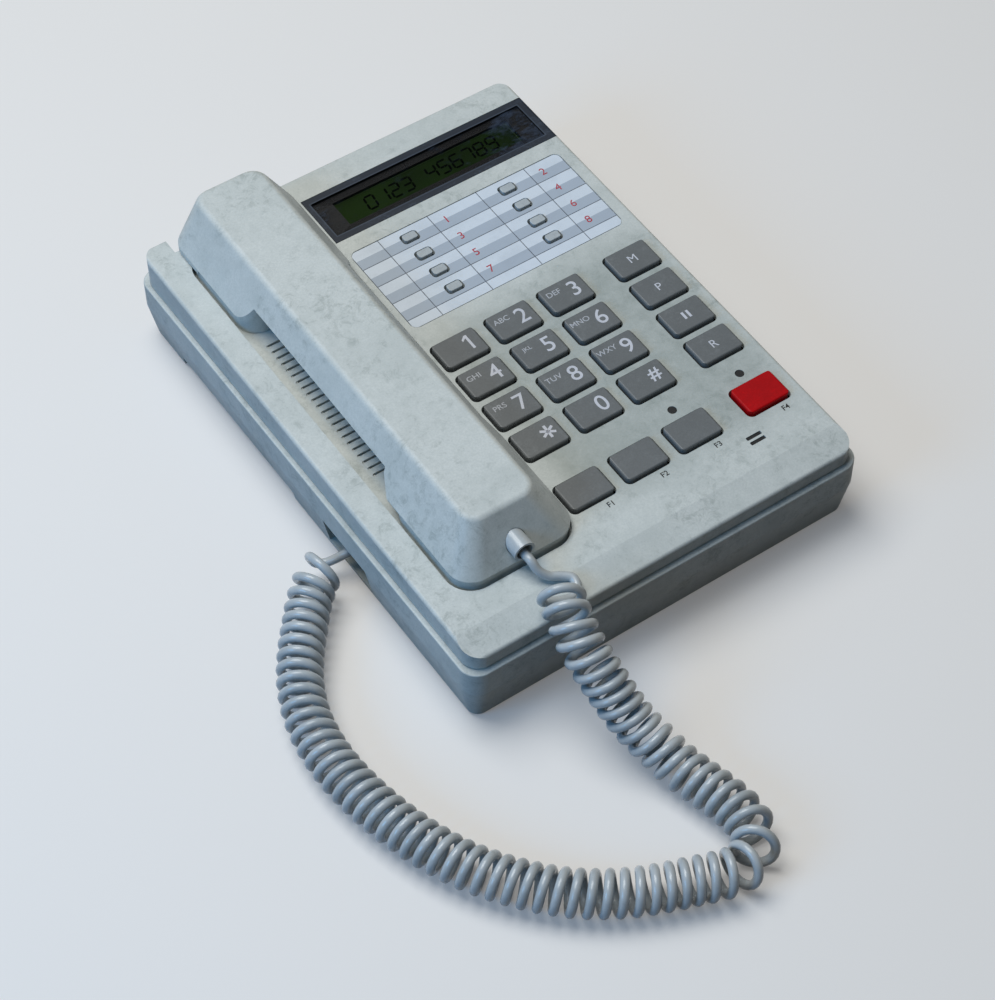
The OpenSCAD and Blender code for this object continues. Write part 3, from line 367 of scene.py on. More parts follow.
@dataclass(frozen=True)
class MouldedPlastic:
    """Moulded plastic with a fine grain, faint clouds, clusters of small stains, specks and uneven gloss.

    Sizes and places are in millimetres, and a share is how much of a stain's or the dirt's colour shows. The
    foot is the height over the table over which painted shade, in the dirt colour, fades out upwards. The
    shade spans are the key field of the deck, darkened with painted shade in the dirt colour, with the outer
    and inner width of its soft edges.
    """

    name: str
    colour: Colour
    stain: Colour
    dirt: Colour
    stain_size: float = 34.0
    stain_share: float = 0.6
    break_size: float = 6.0
    dirt_share: float = 0.46
    speck_size: float = 1.4
    speck_share: float = 0.22
    grain_size: float = 0.5
    grain_share: float = 0.5
    grain_depth: float = 0.035
    foot_share: float = 0.0
    foot: Pair = (1.0, 17.0)
    hand_share: float = 0.0
    hand_x: Pair = (0.0, 0.0)
    hand_y: Pair = (0.0, 0.0)
    hand_fade_x: Pair = (9.0, 7.0)
    hand_fade_y: Pair = (12.0, 10.0)
    hand_level: Pair = (36.4, 36.9)
    roughness: float = 0.52
    spread: float = 0.14
    shine: float = 0.5

    def handled(self, graph: Graph) -> Value:
        """The key field of the deck, darkened with painted shade.

        Args:
            graph: The material's graph.

        Returns:
            One inside the hand spans and above their level, falling to nought over the soft edges.
        """
        share = graph.along(UP).band(*self.hand_level)
        for direction, (low, high), (outer, inner) in (
            (RIGHT, self.hand_x, self.hand_fade_x),
            (BACK, self.hand_y, self.hand_fade_y),
        ):
            place = graph.along(direction)
            share = share * place.band(low - outer, low + inner)
            share = share * (1.0 - place.band(high - inner, high + outer))
        return share

    def make(self) -> Material:
        """Builds the finish.

        Returns:
            The material. Clouds are wide noise broken up by finer noise, stains are fine noise cut hard in a
            few wide patches, specks are dots near scattered points in the stained areas, and the moulded grain
            shows both in the colour and as a bump. Painted shade in the dirt colour fades out upwards from the
            table, and painted shade darkens the deck's key field.
        """
        graph = Graph(self.name)
        wide = graph.noise(self.stain_size, detail=5.0, roughness=0.6, shift=3.1, bend=0.4)
        broken = graph.noise(self.break_size, detail=7.0, roughness=0.7, shift=7.7)
        small = graph.noise(self.break_size * 0.9, detail=9.0, roughness=0.82, shift=5.2, bend=0.6)
        cloud = (wide * 0.6 + broken * 0.4).band(0.38, 0.62)
        blotches = graph.noise(self.stain_size * 1.1, detail=4.0, roughness=0.62, shift=11.3)
        dirt = (blotches * 0.55 + broken * 0.45).band(0.44, 0.58) * small.band(0.47, 0.63)
        dots = 1.0 - graph.cells(self.speck_size, shift=2.3).band(0.1, 0.26)
        specks = dots * (wide * 0.5 + broken * 0.5).band(0.46, 0.58)
        grain = graph.noise(self.grain_size, detail=2.0, roughness=0.6, shift=1.7)
        fleck = graph.noise(self.grain_size * 1.5, detail=3.0, roughness=0.7, shift=4.3).band(0.34, 0.66)
        stained = graph.mix(cloud * self.stain_share, self.colour, self.stain)
        flecked = graph.mix(fleck * self.grain_share, stained, self.stain)
        coloured = graph.mix((dirt * self.dirt_share).most(specks * self.speck_share), flecked, self.dirt)
        # Painted shade: the shell darkens in the dirt colour towards the table and fades out upwards.
        if self.foot_share:
            low = 1.0 - graph.along(UP).band(*self.foot)
            coloured = graph.mix(low * (broken * 0.8 + 0.6) * self.foot_share, coloured, self.dirt)
        # Painted shade: the deck's key field darkens in the dirt colour, broken up by noise.
        if self.hand_share:
            field_shade = self.handled(graph) * (broken * 0.5 + small * 0.7)
            coloured = graph.mix(field_shade * self.hand_share, coloured, self.dirt)
        return graph.principled(
            {
                "Base Color": coloured,
                "Roughness": (cloud * 0.5 + dirt * 0.5) * self.spread + (self.roughness - 0.3 * self.spread),
                "Specular IOR Level": self.shine,
                "Normal": graph.bump(grain, strength=0.5, depth=self.grain_depth),
            }
        )


@dataclass(frozen=True)
class SlateBezel:
    """Dark slate plastic with a blackened floor behind the window, scuffs, and a painted highlight along the
    window's edge.
    """

    colour: Colour
    scuff: Colour
    floor: Colour
    window_x: Pair
    window_y: Pair
    slack: float = 0.05
    rim: Pair = (0.3, 0.65)

    def make(self, deck: "Deck") -> Material:
        """Builds the finish.

        Args:
            deck: The deck, for the window's place.

        Returns:
            The material. The floor mask is a rectangle on the deck, a painted highlight in the scuff colour is
            the band just outside it, and scuffs are stretched noise.
        """
        graph = Graph(Slot.BEZEL.value + "_worn")
        past = past_box(*deck.axes(graph), self.window_x, self.window_y)
        inside = past.under(self.slack)
        # Painted highlight: a pale band along the window's edge, where the bevel would catch the light.
        rim = (1.0 - past.band(*self.rim)) * past.over(self.slack)
        streak = graph.noise(9.0, detail=4.0, roughness=0.65, shift=4.4, stretch=(0.35, 1.6, 1.0))
        dust = graph.noise(1.1, detail=3.0, roughness=0.6, shift=8.8)
        scuffed = graph.mix((streak * 0.6 + dust * 0.4).band(0.5, 0.68) * 0.55, self.colour, self.scuff)
        highlighted = graph.mix(rim * (dust * 0.6 + 0.4), scuffed, self.scuff)
        grain = graph.noise(0.45, detail=2.0, roughness=0.5, shift=1.1)
        return graph.principled(
            {
                "Base Color": graph.mix(inside, highlighted, self.floor),
                "Roughness": streak * 0.2 + 0.38,
                "Normal": graph.bump(grain, strength=0.5, depth=0.03),
            }
        )


@dataclass(frozen=True)
class DisplayWindow:
    """A thin clear window with finger smears, seen against the dark behind it, and a hazed right end."""

    tint: Colour
    haze: Colour
    hazed: Pair = (52.0, 72.0)
    clear: float = 0.06
    smeared: float = 0.3

    def make(self) -> Material:
        """Builds the finish.

        Returns:
            The material. Smears are stretched noise, thicker towards the right end, and raise both the cover
            and the roughness.
        """
        graph = Graph(Slot.WINDOW.value + "_smeared")
        wide = graph.noise(12.0, detail=5.0, roughness=0.66, shift=2.2, stretch=(0.6, 1.0, 1.0), bend=1.2)
        fine = graph.noise(2.0, detail=5.0, roughness=0.7, shift=6.1, stretch=(0.6, 1.2, 1.0))
        end = graph.along(RIGHT).band(*self.hazed)
        smear = (wide * 0.55 + fine * 0.45 + end * 0.1).band(0.52, 0.68)
        return graph.principled(
            {
                "Base Color": graph.mix(smear, self.tint, self.haze),
                "Roughness": smear * 0.2 + 0.06,
                "Specular IOR Level": 0.25,
                "Alpha": smear * self.smeared + self.clear,
            }
        )


@dataclass(frozen=True)
class LiquidCrystal:
    """A dark green display panel, unevenly lit, with the fine lines of its rear reflector."""

    dark: Colour
    light: Colour
    line: float = 0.35
    line_gain: float = 2.86

    def make(self) -> Material:
        """Builds the finish.

        Returns:
            The material. Its colour goes from dark to light by wide noise, with a line pattern across it.
        """
        graph = Graph(Slot.LCD.value + "_panel")
        wide = graph.noise(34.0, detail=2.0, roughness=0.5, shift=5.5, stretch=(0.7, 1.0, 1.0))
        lines = abs(graph.along(RIGHT).wrap(2.0 * self.line) - self.line) * self.line_gain
        shade = (wide * 0.9 + lines * 0.1).band(0.3, 0.75)
        return graph.principled(
            {
                "Base Color": graph.mix(shade, self.dark, self.light),
                "Roughness": graph.noise(3.0, detail=2.0) * 0.1 + 0.25,
                "Specular IOR Level": 0.15,
            }
        )


@dataclass(frozen=True)
class PrintedCard:
    """The paper index card: rows of a pale and a grey half, thin rules and a worn surface."""

    paper: Colour
    shaded: Colour
    rule: Colour
    sides: Pair
    ends: Pair
    pitch: float
    columns: Tuple[float, ...]
    rows: int = 4
    line: float = 0.35
    overlap: float = 0.2

    def make(self, deck: "Deck") -> Material:
        """Builds the finish.

        Args:
            deck: The deck that the card lies on.

        Returns:
            The material. Rows repeat every pitch from the back edge, and rules are narrow bands at the
            columns, the rows and the outline.
        """
        graph = Graph(Slot.CARD.value + "_printed")
        across, back = deck.axes(graph)
        depth = self.ends[1] - back
        in_row = depth.wrap(self.pitch)
        ruled = self.rows * self.pitch
        grey = in_row.over(0.5 * self.pitch) * depth.under(ruled)
        rules = in_row.over(self.pitch - self.line) * depth.under(ruled + self.overlap)
        for column in self.columns:
            rules = rules.most(abs(across - column).under(0.5 * self.line))
        rules = rules.most(past_box(across, back, self.sides, self.ends).over(-self.line))
        fibre = graph.noise(0.7, detail=3.0, roughness=0.6, shift=3.3)
        worn = graph.noise(13.0, detail=4.0, roughness=0.65, shift=9.1, bend=0.6)
        yellowed = (worn * 0.75 + fibre * 0.25).band(0.4, 0.72)
        plain = graph.mix(grey, self.paper, self.shaded)
        aged = graph.mix(yellowed * 0.22, plain, tuple(0.72 * c for c in self.shaded))
        return graph.principled(
            {
                "Base Color": graph.mix(rules * (fibre * 0.4 + 0.6), aged, self.rule),
                "Roughness": fibre * 0.15 + 0.55,
                "Normal": graph.bump(fibre, strength=0.35, depth=0.02),
            }
        )


@dataclass(frozen=True)
class CordVinyl:
    """Glossy vinyl of the curly cord: faint clouding, dull handled stretches and fine scratches."""

    colour: Colour
    stain: Colour

    def make(self) -> Material:
        """Clouds and scratches are noise on the cord's coordinates, twenty times finer for the scratches."""
        graph = Graph(Slot.CORD.value + "_glossy")
        cloud = graph.noise(14.0, detail=4.0, roughness=0.6, shift=1.9).band(0.42, 0.68)
        fine = graph.noise(0.7, detail=3.0, roughness=0.6, shift=6.6)
        return graph.principled(
            {
                "Base Color": graph.mix(cloud * 0.5 + fine * 0.16, self.colour, self.stain),
                "Roughness": cloud * 0.12 + fine * 0.08 + 0.2,
                "Coat Weight": 0.25,
                "Normal": graph.bump(fine, strength=0.25, depth=0.02),
            }
        )


@dataclass(frozen=True)
class ClearPlug:
    """Half-clear moulded plastic of a modular plug."""

    colour: Colour

    def make(self) -> Material:
        """Flow marks of the moulding are stretched noise in the cover and the roughness."""
        graph = Graph(Slot.PLUG.value + "_moulded")
        flow = graph.noise(2.0, detail=3.0, roughness=0.6, shift=2.9, stretch=(0.3, 1.0, 1.0))
        return graph.principled(
            {"Base Color": self.colour, "Roughness": flow * 0.15 + 0.12, "Alpha": flow * 0.25 + 0.5}
        )


@dataclass(frozen=True)
class SoftRubber:
    """Matt black rubber with a fine moulded grain and dusty patches."""

    colour: Colour
    dust: Colour

    def make(self) -> Material:
        """Dust lies where wide noise is high; the grain is fine noise as a bump."""
        graph = Graph(Slot.RUBBER.value + "_dusty")
        dusty = graph.noise(5.0, detail=4.0, roughness=0.6, shift=1.4).band(0.45, 0.75)
        grain = graph.noise(0.35, detail=2.0, roughness=0.5, shift=4.9)
        return graph.principled(
            {
                "Base Color": graph.mix(dusty * 0.5, self.colour, self.dust),
                "Roughness": dusty * 0.12 + 0.78,
                "Normal": graph.bump(grain, strength=0.6, depth=0.05),
            }
        )


@dataclass(frozen=True)
class PlatedSteel:
    """Zinc-plated steel with brushed streaks and dull oxide."""

    colour: Colour
    oxide: Colour

    def make(self) -> Material:
        """Streaks are noise drawn out along Y; oxide lies where wide noise is high."""
        graph = Graph(Slot.STEEL.value + "_plated")
        streak = graph.noise(0.5, detail=3.0, roughness=0.6, shift=2.0, stretch=(3.0, 0.2, 3.0))
        oxide = graph.noise(2.4, detail=4.0, roughness=0.6, shift=6.0).band(0.5, 0.75)
        return graph.principled(
            {
                "Base Color": graph.mix(oxide * 0.6, self.colour, self.oxide),
                "Metallic": 1.0 - oxide * 0.3,
                "Roughness": streak * 0.2 + oxide * 0.2 + 0.22,
                "Normal": graph.bump(streak, strength=0.25, depth=0.02),
            }
        )


@dataclass(frozen=True)
class BoardMask:
    """Solder mask over glass fibre, with the weave showing through and paler tracks."""

    colour: Colour
    track: Colour
    thread: float = 1.2

    def make(self) -> Material:
        """Weave is two crossed line patterns; tracks are bands of a stretched noise."""
        graph = Graph(Slot.BOARD.value + "_masked")
        warp, weft = (
            abs(graph.along(direction).wrap(self.thread) - 0.5 * self.thread) for direction in (RIGHT, BACK)
        )
        weave = (warp + weft) * 0.8
        run = graph.noise(6.0, detail=1.0, roughness=0.4, shift=3.8, stretch=(0.4, 1.4, 1.0))
        track = 1.0 - abs(run - 0.5).band(0.01, 0.03)
        return graph.principled(
            {
                "Base Color": graph.mix(track * 0.6 + weave * 0.08, self.colour, self.track),
                "Roughness": weave * 0.1 + 0.3,
                "Normal": graph.bump(weave * 0.3 + track * 0.7, strength=0.4, depth=0.04),
            }
        )


@dataclass(frozen=True)
class PrintInk:
    """Printed ink, worn thin in places."""

    name: str
    colour: Colour
    thin: Colour
    wear: float = 0.5
    gloss: float = 0.5

    def make(self) -> Material:
        """Worn spots are fine noise within wide noise."""
        graph = Graph(self.name)
        wide = graph.noise(6.0, detail=3.0, roughness=0.6, shift=2.6)
        fine = graph.noise(0.5, detail=3.0, roughness=0.65, shift=7.2)
        worn = (wide * 0.5 + fine * 0.5).band(0.5, 0.68)
        return graph.principled(
            {
                "Base Color": graph.mix(worn * self.wear, self.colour, self.thin),
                "Roughness": fine * 0.2 + 0.4,
                "Specular IOR Level": self.gloss,
            }
        )


@dataclass(frozen=True)
class PaleFloor:
    """A plain pale sweep: what is seen of it is pale, what it throws back on the object is darker."""

    seen: Colour
    thrown: Colour
    glow: float = 0.22

    def make(self) -> Material:
        """Builds the finish.

        Returns:
            The material. Camera, glossy and see-through rays take the pale colour, with a faint glow of it,
            and all others take the darker one.
        """
        graph = Graph("studio_floor")
        path = graph.node("ShaderNodeLightPath")
        camera, glossy, through = (
            Value(graph, path.outputs[f"Is {ray} Ray"]) for ray in ("Camera", "Glossy", "Transmission")
        )
        shown = camera.most(glossy).most(through)
        cloud = graph.noise(180.0, detail=2.0, roughness=0.5, shift=1.0)
        pale = graph.mix(cloud * 0.12, self.seen, tuple(0.9 * c for c in self.seen))
        return graph.principled(
            {
                "Base Color": graph.mix(shown, self.thrown, pale),
                "Roughness": 0.7,
                "Emission Color": graph.mix(shown, (0.0, 0.0, 0.0), self.seen),
                "Emission Strength": self.glow,
            }
        )


# Geometry


@dataclass(frozen=True)
class Deck:
    """The tilted deck: X to the right, Y to the back, N square out of its top face, in millimetres."""

    height: float = 39.0
    tilt: float = math.radians(1.1)

    def points(self, local: np.ndarray) -> np.ndarray:
        """Turns deck places into frame places.

        Args:
            local: Places (..., 3) on the deck in millimetres.

        Returns:
            The places in the frame in metres: Y and N turned by the tilt, then raised to the deck's height.
        """
        x, y, n = local[..., 0], local[..., 1], local[..., 2]
        cos, sin = math.cos(self.tilt), math.sin(self.tilt)
        return np.stack([x, y * cos - n * sin, self.height + y * sin + n * cos], -1) * MM

    def axes(self, graph: Graph) -> Tuple[Value, Value]:
        """Deck coordinates inside a material.

        Args:
            graph: The material's graph.

        Returns:
            X and Y of the deck in millimetres.
        """
        start = (0.0, 0.0, self.height)
        slope = (0.0, math.cos(self.tilt), math.sin(self.tilt))
        return graph.along(RIGHT, start), graph.along(slope, start)


def linked(name: str, data: bpy.types.ID) -> bpy.types.Object:
    """A new object with the given data, linked to the scene."""
    made = bpy.data.objects.new(name, data)
    bpy.context.scene.collection.objects.link(made)
    return made


def add_mesh(
    name: str, points: np.ndarray, faces: Sequence[Sequence[int]], material: Material, smooth: bool
) -> bpy.types.Object:
    """Makes an object at the origin with its place in its mesh.

    Args:
        name: The piece's name.
        points: Places (count, 3) in metres.
        faces: Corner indices of each face.
        material: The piece's finish.
        smooth: Whether the faces shade smoothly.

    Returns:
        The object, linked to the scene.
    """
    mesh = bpy.data.meshes.new(name)
    mesh.from_pydata(np.asarray(points, float).tolist(), [], [list(map(int, face)) for face in faces])
    mesh.polygons.foreach_set("use_smooth", np.full(len(mesh.polygons), smooth))
    mesh.materials.append(material)
    mesh.update()
    return linked(name, mesh)


def tube_faces(rings: int, sides: int) -> np.ndarray:
    """Quads between neighbouring rings of a tube.

    Args:
        rings: Number of rings.
        sides: Points in a ring.

    Returns:
        Indices (count, 4): ring i + 1, side k to ring i, side k + 1, closed round the ring.
    """
    ring, side = np.meshgrid(np.arange(rings - 1), np.arange(sides), indexing="ij")
    following = (side + 1) % sides
    near, far = ring * sides, (ring + 1) * sides
    return np.stack([far + side, far + following, near + following, near + side], -1).reshape(-1, 4)


def unit(vectors: np.ndarray) -> np.ndarray:
    """Each vector over its own length."""
    return vectors / np.linalg.norm(vectors, axis=-1, keepdims=True)


def directions(path: np.ndarray) -> np.ndarray:
    """Unit direction at each point of a path, from the point before it to the point after it."""
    held = np.vstack([path[:1], path, path[-1:]])
    return unit(held[2:] - held[:-2])


def rectangle(width: float, height: float) -> np.ndarray:
    """Corners (4, 2) of a rectangle about nought, anticlockwise."""
    return np.array([[-1, -1], [1, -1], [1, 1], [-1, 1]]) * [0.5 * width, 0.5 * height]


def joined(solids: Sequence[Solid]) -> Solid:
    """Puts several solids into one list of points and faces.

    Args:
        solids: Points and faces of each.

    Returns:
        All points, and all faces counted on from the points before them.
    """
    starts = np.cumsum([0, *[len(points) for points, _ in solids]])
    faces = [
        [int(corner + start) for corner in face]
        for start, (_, own) in zip(starts, solids)
        for face in own
    ]
    return np.vstack([points for points, _ in solids]), faces


def add_print(name: str, solid: Solid, material: Material, body: str) -> None:
    """Adds a piece of print that rides on a body.

    Args:
        name: The piece's name.
        solid: Its points in metres and its faces.
        material: The ink.
        body: The body that it rides on.
    """
    made = add_mesh(name, *solid, material, False)
    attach(made, body)
    LOG.info("%s: %d faces", name, len(solid[1]))


# Sub-assemblies


@dataclass(frozen=True)
class SoftLamp:
    """A soft rectangular lamp: its place and size in metres, its power in watts and its colour."""

    name: str
    place: Point
    size: Pair
    power: float
    colour: Colour

    def hang(self, aim: Point) -> None:
        """Adds the lamp, looking at a point.

        Args:
            aim: The point, in metres.
        """
        data = bpy.data.lights.new(self.name, "AREA")
        data.shape = "RECTANGLE"
        data.size, data.size_y = self.size
        data.energy = self.power
        data.color = self.colour
        made = linked(self.name, data)
        made.location = self.place
        toward = Vector(aim) - Vector(self.place)
        made.rotation_euler = toward.to_track_quat("-Z", "Y").to_euler()


@dataclass
class Studio:
    """Pale floor, soft lamps and the camera at the photograph's angle, in metres."""

    eye: Point = (-0.346349, -0.515124, 0.743374)
    right: Point = (0.82443, -0.56594, -0.00421)
    down: Point = (-0.44786, -0.64783, -0.61623)
    look: Point = (0.34603, 0.50992, -0.78756)
    lens: float = 95.64
    sensor: float = 36.0
    far: float = 20.0
    floor_size: float = 6.0
    floor_cells: int = 8
    aim: Point = (-0.02, -0.03, 0.02)
    lamps: Tuple[SoftLamp, ...] = (
        SoftLamp("over_lamp", (-0.24, 0.42, 1.42), (1.0, 1.0), 17.9, (0.99, 1.0, 0.98)),
        SoftLamp("left_lamp", (-1.12, -0.06, 0.66), (0.6, 0.5), 5.4, (0.14, 0.5, 1.0)),
    )
    surround: Colour = (0.9, 0.96, 1.0)
    ambient: float = 0.09

    def camera(self) -> None:
        """Sets the camera from its three axes and its eye point."""
        data = bpy.data.cameras.new("camera")
        data.lens = self.lens
        data.sensor_width = self.sensor
        data.clip_end = self.far
        made = linked("camera", data)
        columns = np.stack([self.right, -np.array(self.down), -np.array(self.look), self.eye], 1)
        made.matrix_world = Matrix([*columns.tolist(), [0.0, 0.0, 0.0, 1.0]])
        bpy.context.scene.camera = made

    def lights(self) -> None:
        """Hangs a wide neutral lamp over the back and a high blue one at the left, in an even surround."""
        for lamp in self.lamps:
            lamp.hang(self.aim)
        world = bpy.data.worlds.new("surround")
        world.use_nodes = True
        background = world.node_tree.nodes["Background"]
        background.inputs["Color"].default_value = (*self.surround, 1.0)
        background.inputs["Strength"].default_value = self.ambient
        bpy.context.scene.world = world

    def floor(self, material: Material) -> None:
        """Lays the floor, a square grid at height nought.

        Args:
            material: The floor's finish.
        """
        line = np.linspace(-0.5, 0.5, self.floor_cells + 1) * self.floor_size
        x, y = np.meshgrid(line, line, indexing="ij")
        points = np.stack([x, y, np.zeros_like(x)], -1).reshape(-1, 3)
        cells = np.arange(self.floor_cells)
        row, column = np.meshgrid(cells, cells, indexing="ij")
        first = (row * len(line) + column).reshape(-1)
        beside = first + len(line)
        faces = np.stack([first, beside, beside + 1, first + 1], -1)
        add_mesh("studio_floor", points, faces, material, False)

    def build(self, material: Material) -> None:
        """Sets the view transform, the lamps and the floor.

        Args:
            material: The floor's finish.
        """
        bpy.context.scene.view_settings.view_transform = "Standard"
        self.lights()
        self.floor(material)
        LOG.info("studio: floor, two lamps and the surround")


@dataclass
class CurlyCord:
    """The curly handset cord from the handset's boot to the plug in the base, in millimetres and degrees."""

    deck: Deck
    exit: Point = (-44.5, -86.15, 6.9)
    inside: float = 4.5
    plug: Point = (-78.0, -31.0, 12.0)
    plug_straight: float = 4.8
    outer: float = 16.4
    thick: float = 3.3
    curls: int = 69
    front_curl: int = 21
    rings: int = 24
    sides: int = 12
    steps: int = 12
    loose_steps: int = 9
    reach: int = 6
    first_angle: float = -150.0
    hook_rings: int = 33
    hook_pulls: Pair = (22.0, 12.0)
    steep: float = 0.95
    bend_ease: float = 0.85
    tightest: float = 0.4
    loose_end: Tuple[Point, ...] = (
        (-44.5, -89.65, 6.9), (-43.6, -92.8, 4.4), (-41, -95.4, 2.4), (-37.6, -97.2, 2),
        (-34.8, -99.8, 1.7), (-35.6, -103.4, 0.9), (-40, -105.2, 0.4),
    )
    route: Tuple[Point, ...] = (
        (-44.2, -105.7, 44.2), (-45.7, -110.8, 43.3), (-46.7, -115.5, 41.8), (-47.3, -119.7, 39.5),
        (-47.5, -123.7, 36.9), (-47.1, -127.6, 33.9), (-46.4, -131.4, 30.6), (-45.6, -135, 27.2),
        (-44.8, -138.7, 23.8), (-43.9, -142.4, 20.5), (-42.7, -146.2, 17.3), (-41.3, -150.1, 14.5),
        (-39.7, -154.3, 12), (-37.4, -163, 9), (-34.9, -172.6, 8.5), (-32.4, -182.3, 8.5),
        (-31.4, -191.6, 8.5), (-33.4, -199.4, 8.5), (-39.6, -204.3, 8.5), (-47.4, -204.6, 8.5),
        (-59.5, -200.3, 8.5), (-67.6, -197.2, 8.5), (-76, -193.4, 8.5), (-84.3, -188.6, 8.5),
        (-92, -183, 8.5), (-98.9, -176.5, 8.5), (-105.2, -169.3, 8.5), (-111, -161.4, 8.5),
        (-116, -153, 8.5), (-120.2, -143.7, 8.5), (-123.6, -133.8, 8.5), (-126.3, -123.7, 8.5),
        (-128.2, -113, 8.5), (-129.2, -102, 8.5), (-128.8, -90.4, 8.5), (-126.6, -78.5, 8.5),
        (-122, -67, 8.5), (-115.4, -56.4, 8.5), (-107.4, -46.4, 8.6), (-99.8, -37.9, 9.4),
        (-92, -32.4, 11.2),
    )

    def curve(self, way: np.ndarray, steps: int) -> np.ndarray:
        """Smooth curve through the way's points.

        Args:
            way: Points (count, 3).
            steps: Number of steps between neighbours.

        Returns:
            Catmull-Rom points, with the end points doubled.
        """
        held = np.vstack([way[:1], way, way[-1:]])
        a, b, c, d = (held[k : k + len(way) - 1, None, :] for k in range(4))
        t = (np.arange(steps) / steps)[None, :, None]
        cubic = 2 * b + (c - a) * t + (2 * a - 5 * b + 4 * c - d) * t**2 + (3 * b - a - 3 * c + d) * t**3
        return np.vstack([(0.5 * cubic).reshape(-1, 3), way[-1:]])

    def helix(self) -> np.ndarray:
        """The curls along the route.

        Returns:
            Points in millimetres. Curls are shared out along the curve, fewer where it bends, and each point
            is the curve's point plus the curl radius times a direction that turns back 360 degrees per curl.
        """
        way = np.vstack([np.array(self.route, float), np.array(self.plug) - [self.plug_straight, 0.0, 0.0]])
        line = self.curve(way, self.steps)
        index = np.arange(len(line))
        tangent = directions(line)
        low, high = np.maximum(index - self.reach, 0), np.minimum(index + self.reach, len(line) - 1)
        swing = np.linalg.norm(tangent[high] - tangent[low], axis=1)
        bending = swing / np.linalg.norm(line[high] - line[low], axis=1)
        radius = 0.5 * (self.outer - self.thick)
        weight = np.linalg.norm(np.diff(line, axis=0), axis=1)
        weight = weight * np.maximum(self.tightest, 1.0 - self.bend_ease * radius * bending[:-1])
        turns = np.concatenate([[0.0], np.cumsum(weight)])
        turns *= self.curls / turns[-1]
        turn = np.arange(self.curls * self.rings + 1) / self.rings
        centre, aside, ahead = (
            np.stack([np.interp(turn, turns, values[:, k]) for k in range(3)], 1)
            for values in (line, unit(np.cross(UP, tangent)), tangent)
        )
        aside, ahead = unit(aside), unit(ahead)
        angle = np.radians(self.first_angle - 360.0 * turn)[:, None]
        lean = np.cos(angle) * aside + np.sin(angle) * np.cross(ahead, aside)
        return centre + radius * lean

    def hook(self, curls: np.ndarray) -> np.ndarray:
        """The bend from the last full curl into the plug.

        Args:
            curls: The curls' points in millimetres.

        Returns:
            Points in millimetres on a cubic curve, which leaves along the curl and enters along the plug.
        """
        leave = unit(curls[-1:] - curls[-2:-1]) * self.hook_pulls[0]
        enter = np.array([[self.hook_pulls[1], 0.0, 0.0]])
        t = np.linspace(0.0, 1.0, self.rings + 1)[1:, None]
        fade = t**2 * (3.0 - 2.0 * t)
        bow = t * (1.0 - t) * ((1.0 - t) * leave - t * enter)
        return (1.0 - fade) * curls[-1:] + fade * np.array([self.plug]) + bow

    def centre_points(self) -> np.ndarray:
        """The cord's own middle line.

        Returns:
            Points in metres: a stub inside the boot, the loose end over the deck, the curls and the hook.
        """
        curls = self.helix()[: -self.hook_rings]
        places = [np.add(self.exit, (0.0, self.inside, 0.0)), self.exit, *self.loose_end]
        stub, *lead = self.deck.points(np.array(places)) / MM
        way = np.vstack([*lead, curls[[0, self.rings // 8]]])
        led = self.curve(way, self.loose_steps)[: (len(way) - 2) * self.loose_steps]
        return np.vstack([stub, led, curls, self.hook(curls)]) * MM

    def rings_along(self, path: np.ndarray) -> np.ndarray:
        """A round profile carried along the cord's middle line.

        Args:
            path: Points (count, 3) in metres.

        Returns:
            Rings (count, sides, 3): the path's point plus half the thickness times a direction that turns
            across it. The turn that each ring's own axes make against those before it is added up and taken
            out, so that the tube isn't twisted.
        """
        ahead = directions(path)
        aside = unit(np.cross(ahead, np.where(np.abs(ahead[:, 2:]) > self.steep, [RIGHT], [UP])))
        over = np.cross(aside, ahead)
        turned = np.arctan2((aside[:-1] * over[1:]).sum(1), (aside[:-1] * aside[1:]).sum(1))
        carried = np.concatenate([[0.0], np.cumsum(turned)])[:, None, None]
        angle = carried + (2.0 * np.pi * np.arange(self.sides) / self.sides)[None, :, None]
        ring = np.cos(angle) * aside[:, None, :] + np.sin(angle) * over[:, None, :]
        return path[:, None, :] + 0.5 * self.thick * MM * ring

    def run(self, name: str, rings: np.ndarray, material: Material) -> bpy.types.Object:
        """One length of the cord, closed at both ends by flat faces that leave its sides smooth.

        Args:
            name: The piece's name.
            rings: Rings (count, sides, 3) in metres.
            material: The cord's finish.

        Returns:
            The piece.
        """
        points = rings.reshape(-1, 3)
        faces = tube_faces(len(rings), self.sides).tolist()
        faces.append(list(range(self.sides)))
        faces.append(list(range(len(points) - 1, len(points) - 1 - self.sides, -1)))
        made = add_mesh(name, points, faces, material, True)
        made.data.polygons.foreach_set("use_smooth", np.arange(len(faces)) < len(faces) - 2)
        return made

    def build(self, material: Material) -> None:
        """The cord in two lengths, which meet at the loop's front: the first is left on its own, the second
        rides on the base.

        Args:
            material: The cord's finish.
        """
        path = self.centre_points()
        rings = self.rings_along(path)
        meet = 1 + (len(self.loose_end) + 1) * self.loose_steps + self.front_curl * self.rings
        rising = self.run("curly_cord", rings[: meet + 1], material)
        lying = self.run("curly_cord_to_plug", rings[meet:], material)
        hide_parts("handset_cord")
        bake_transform(rising)
        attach(lying, "base")


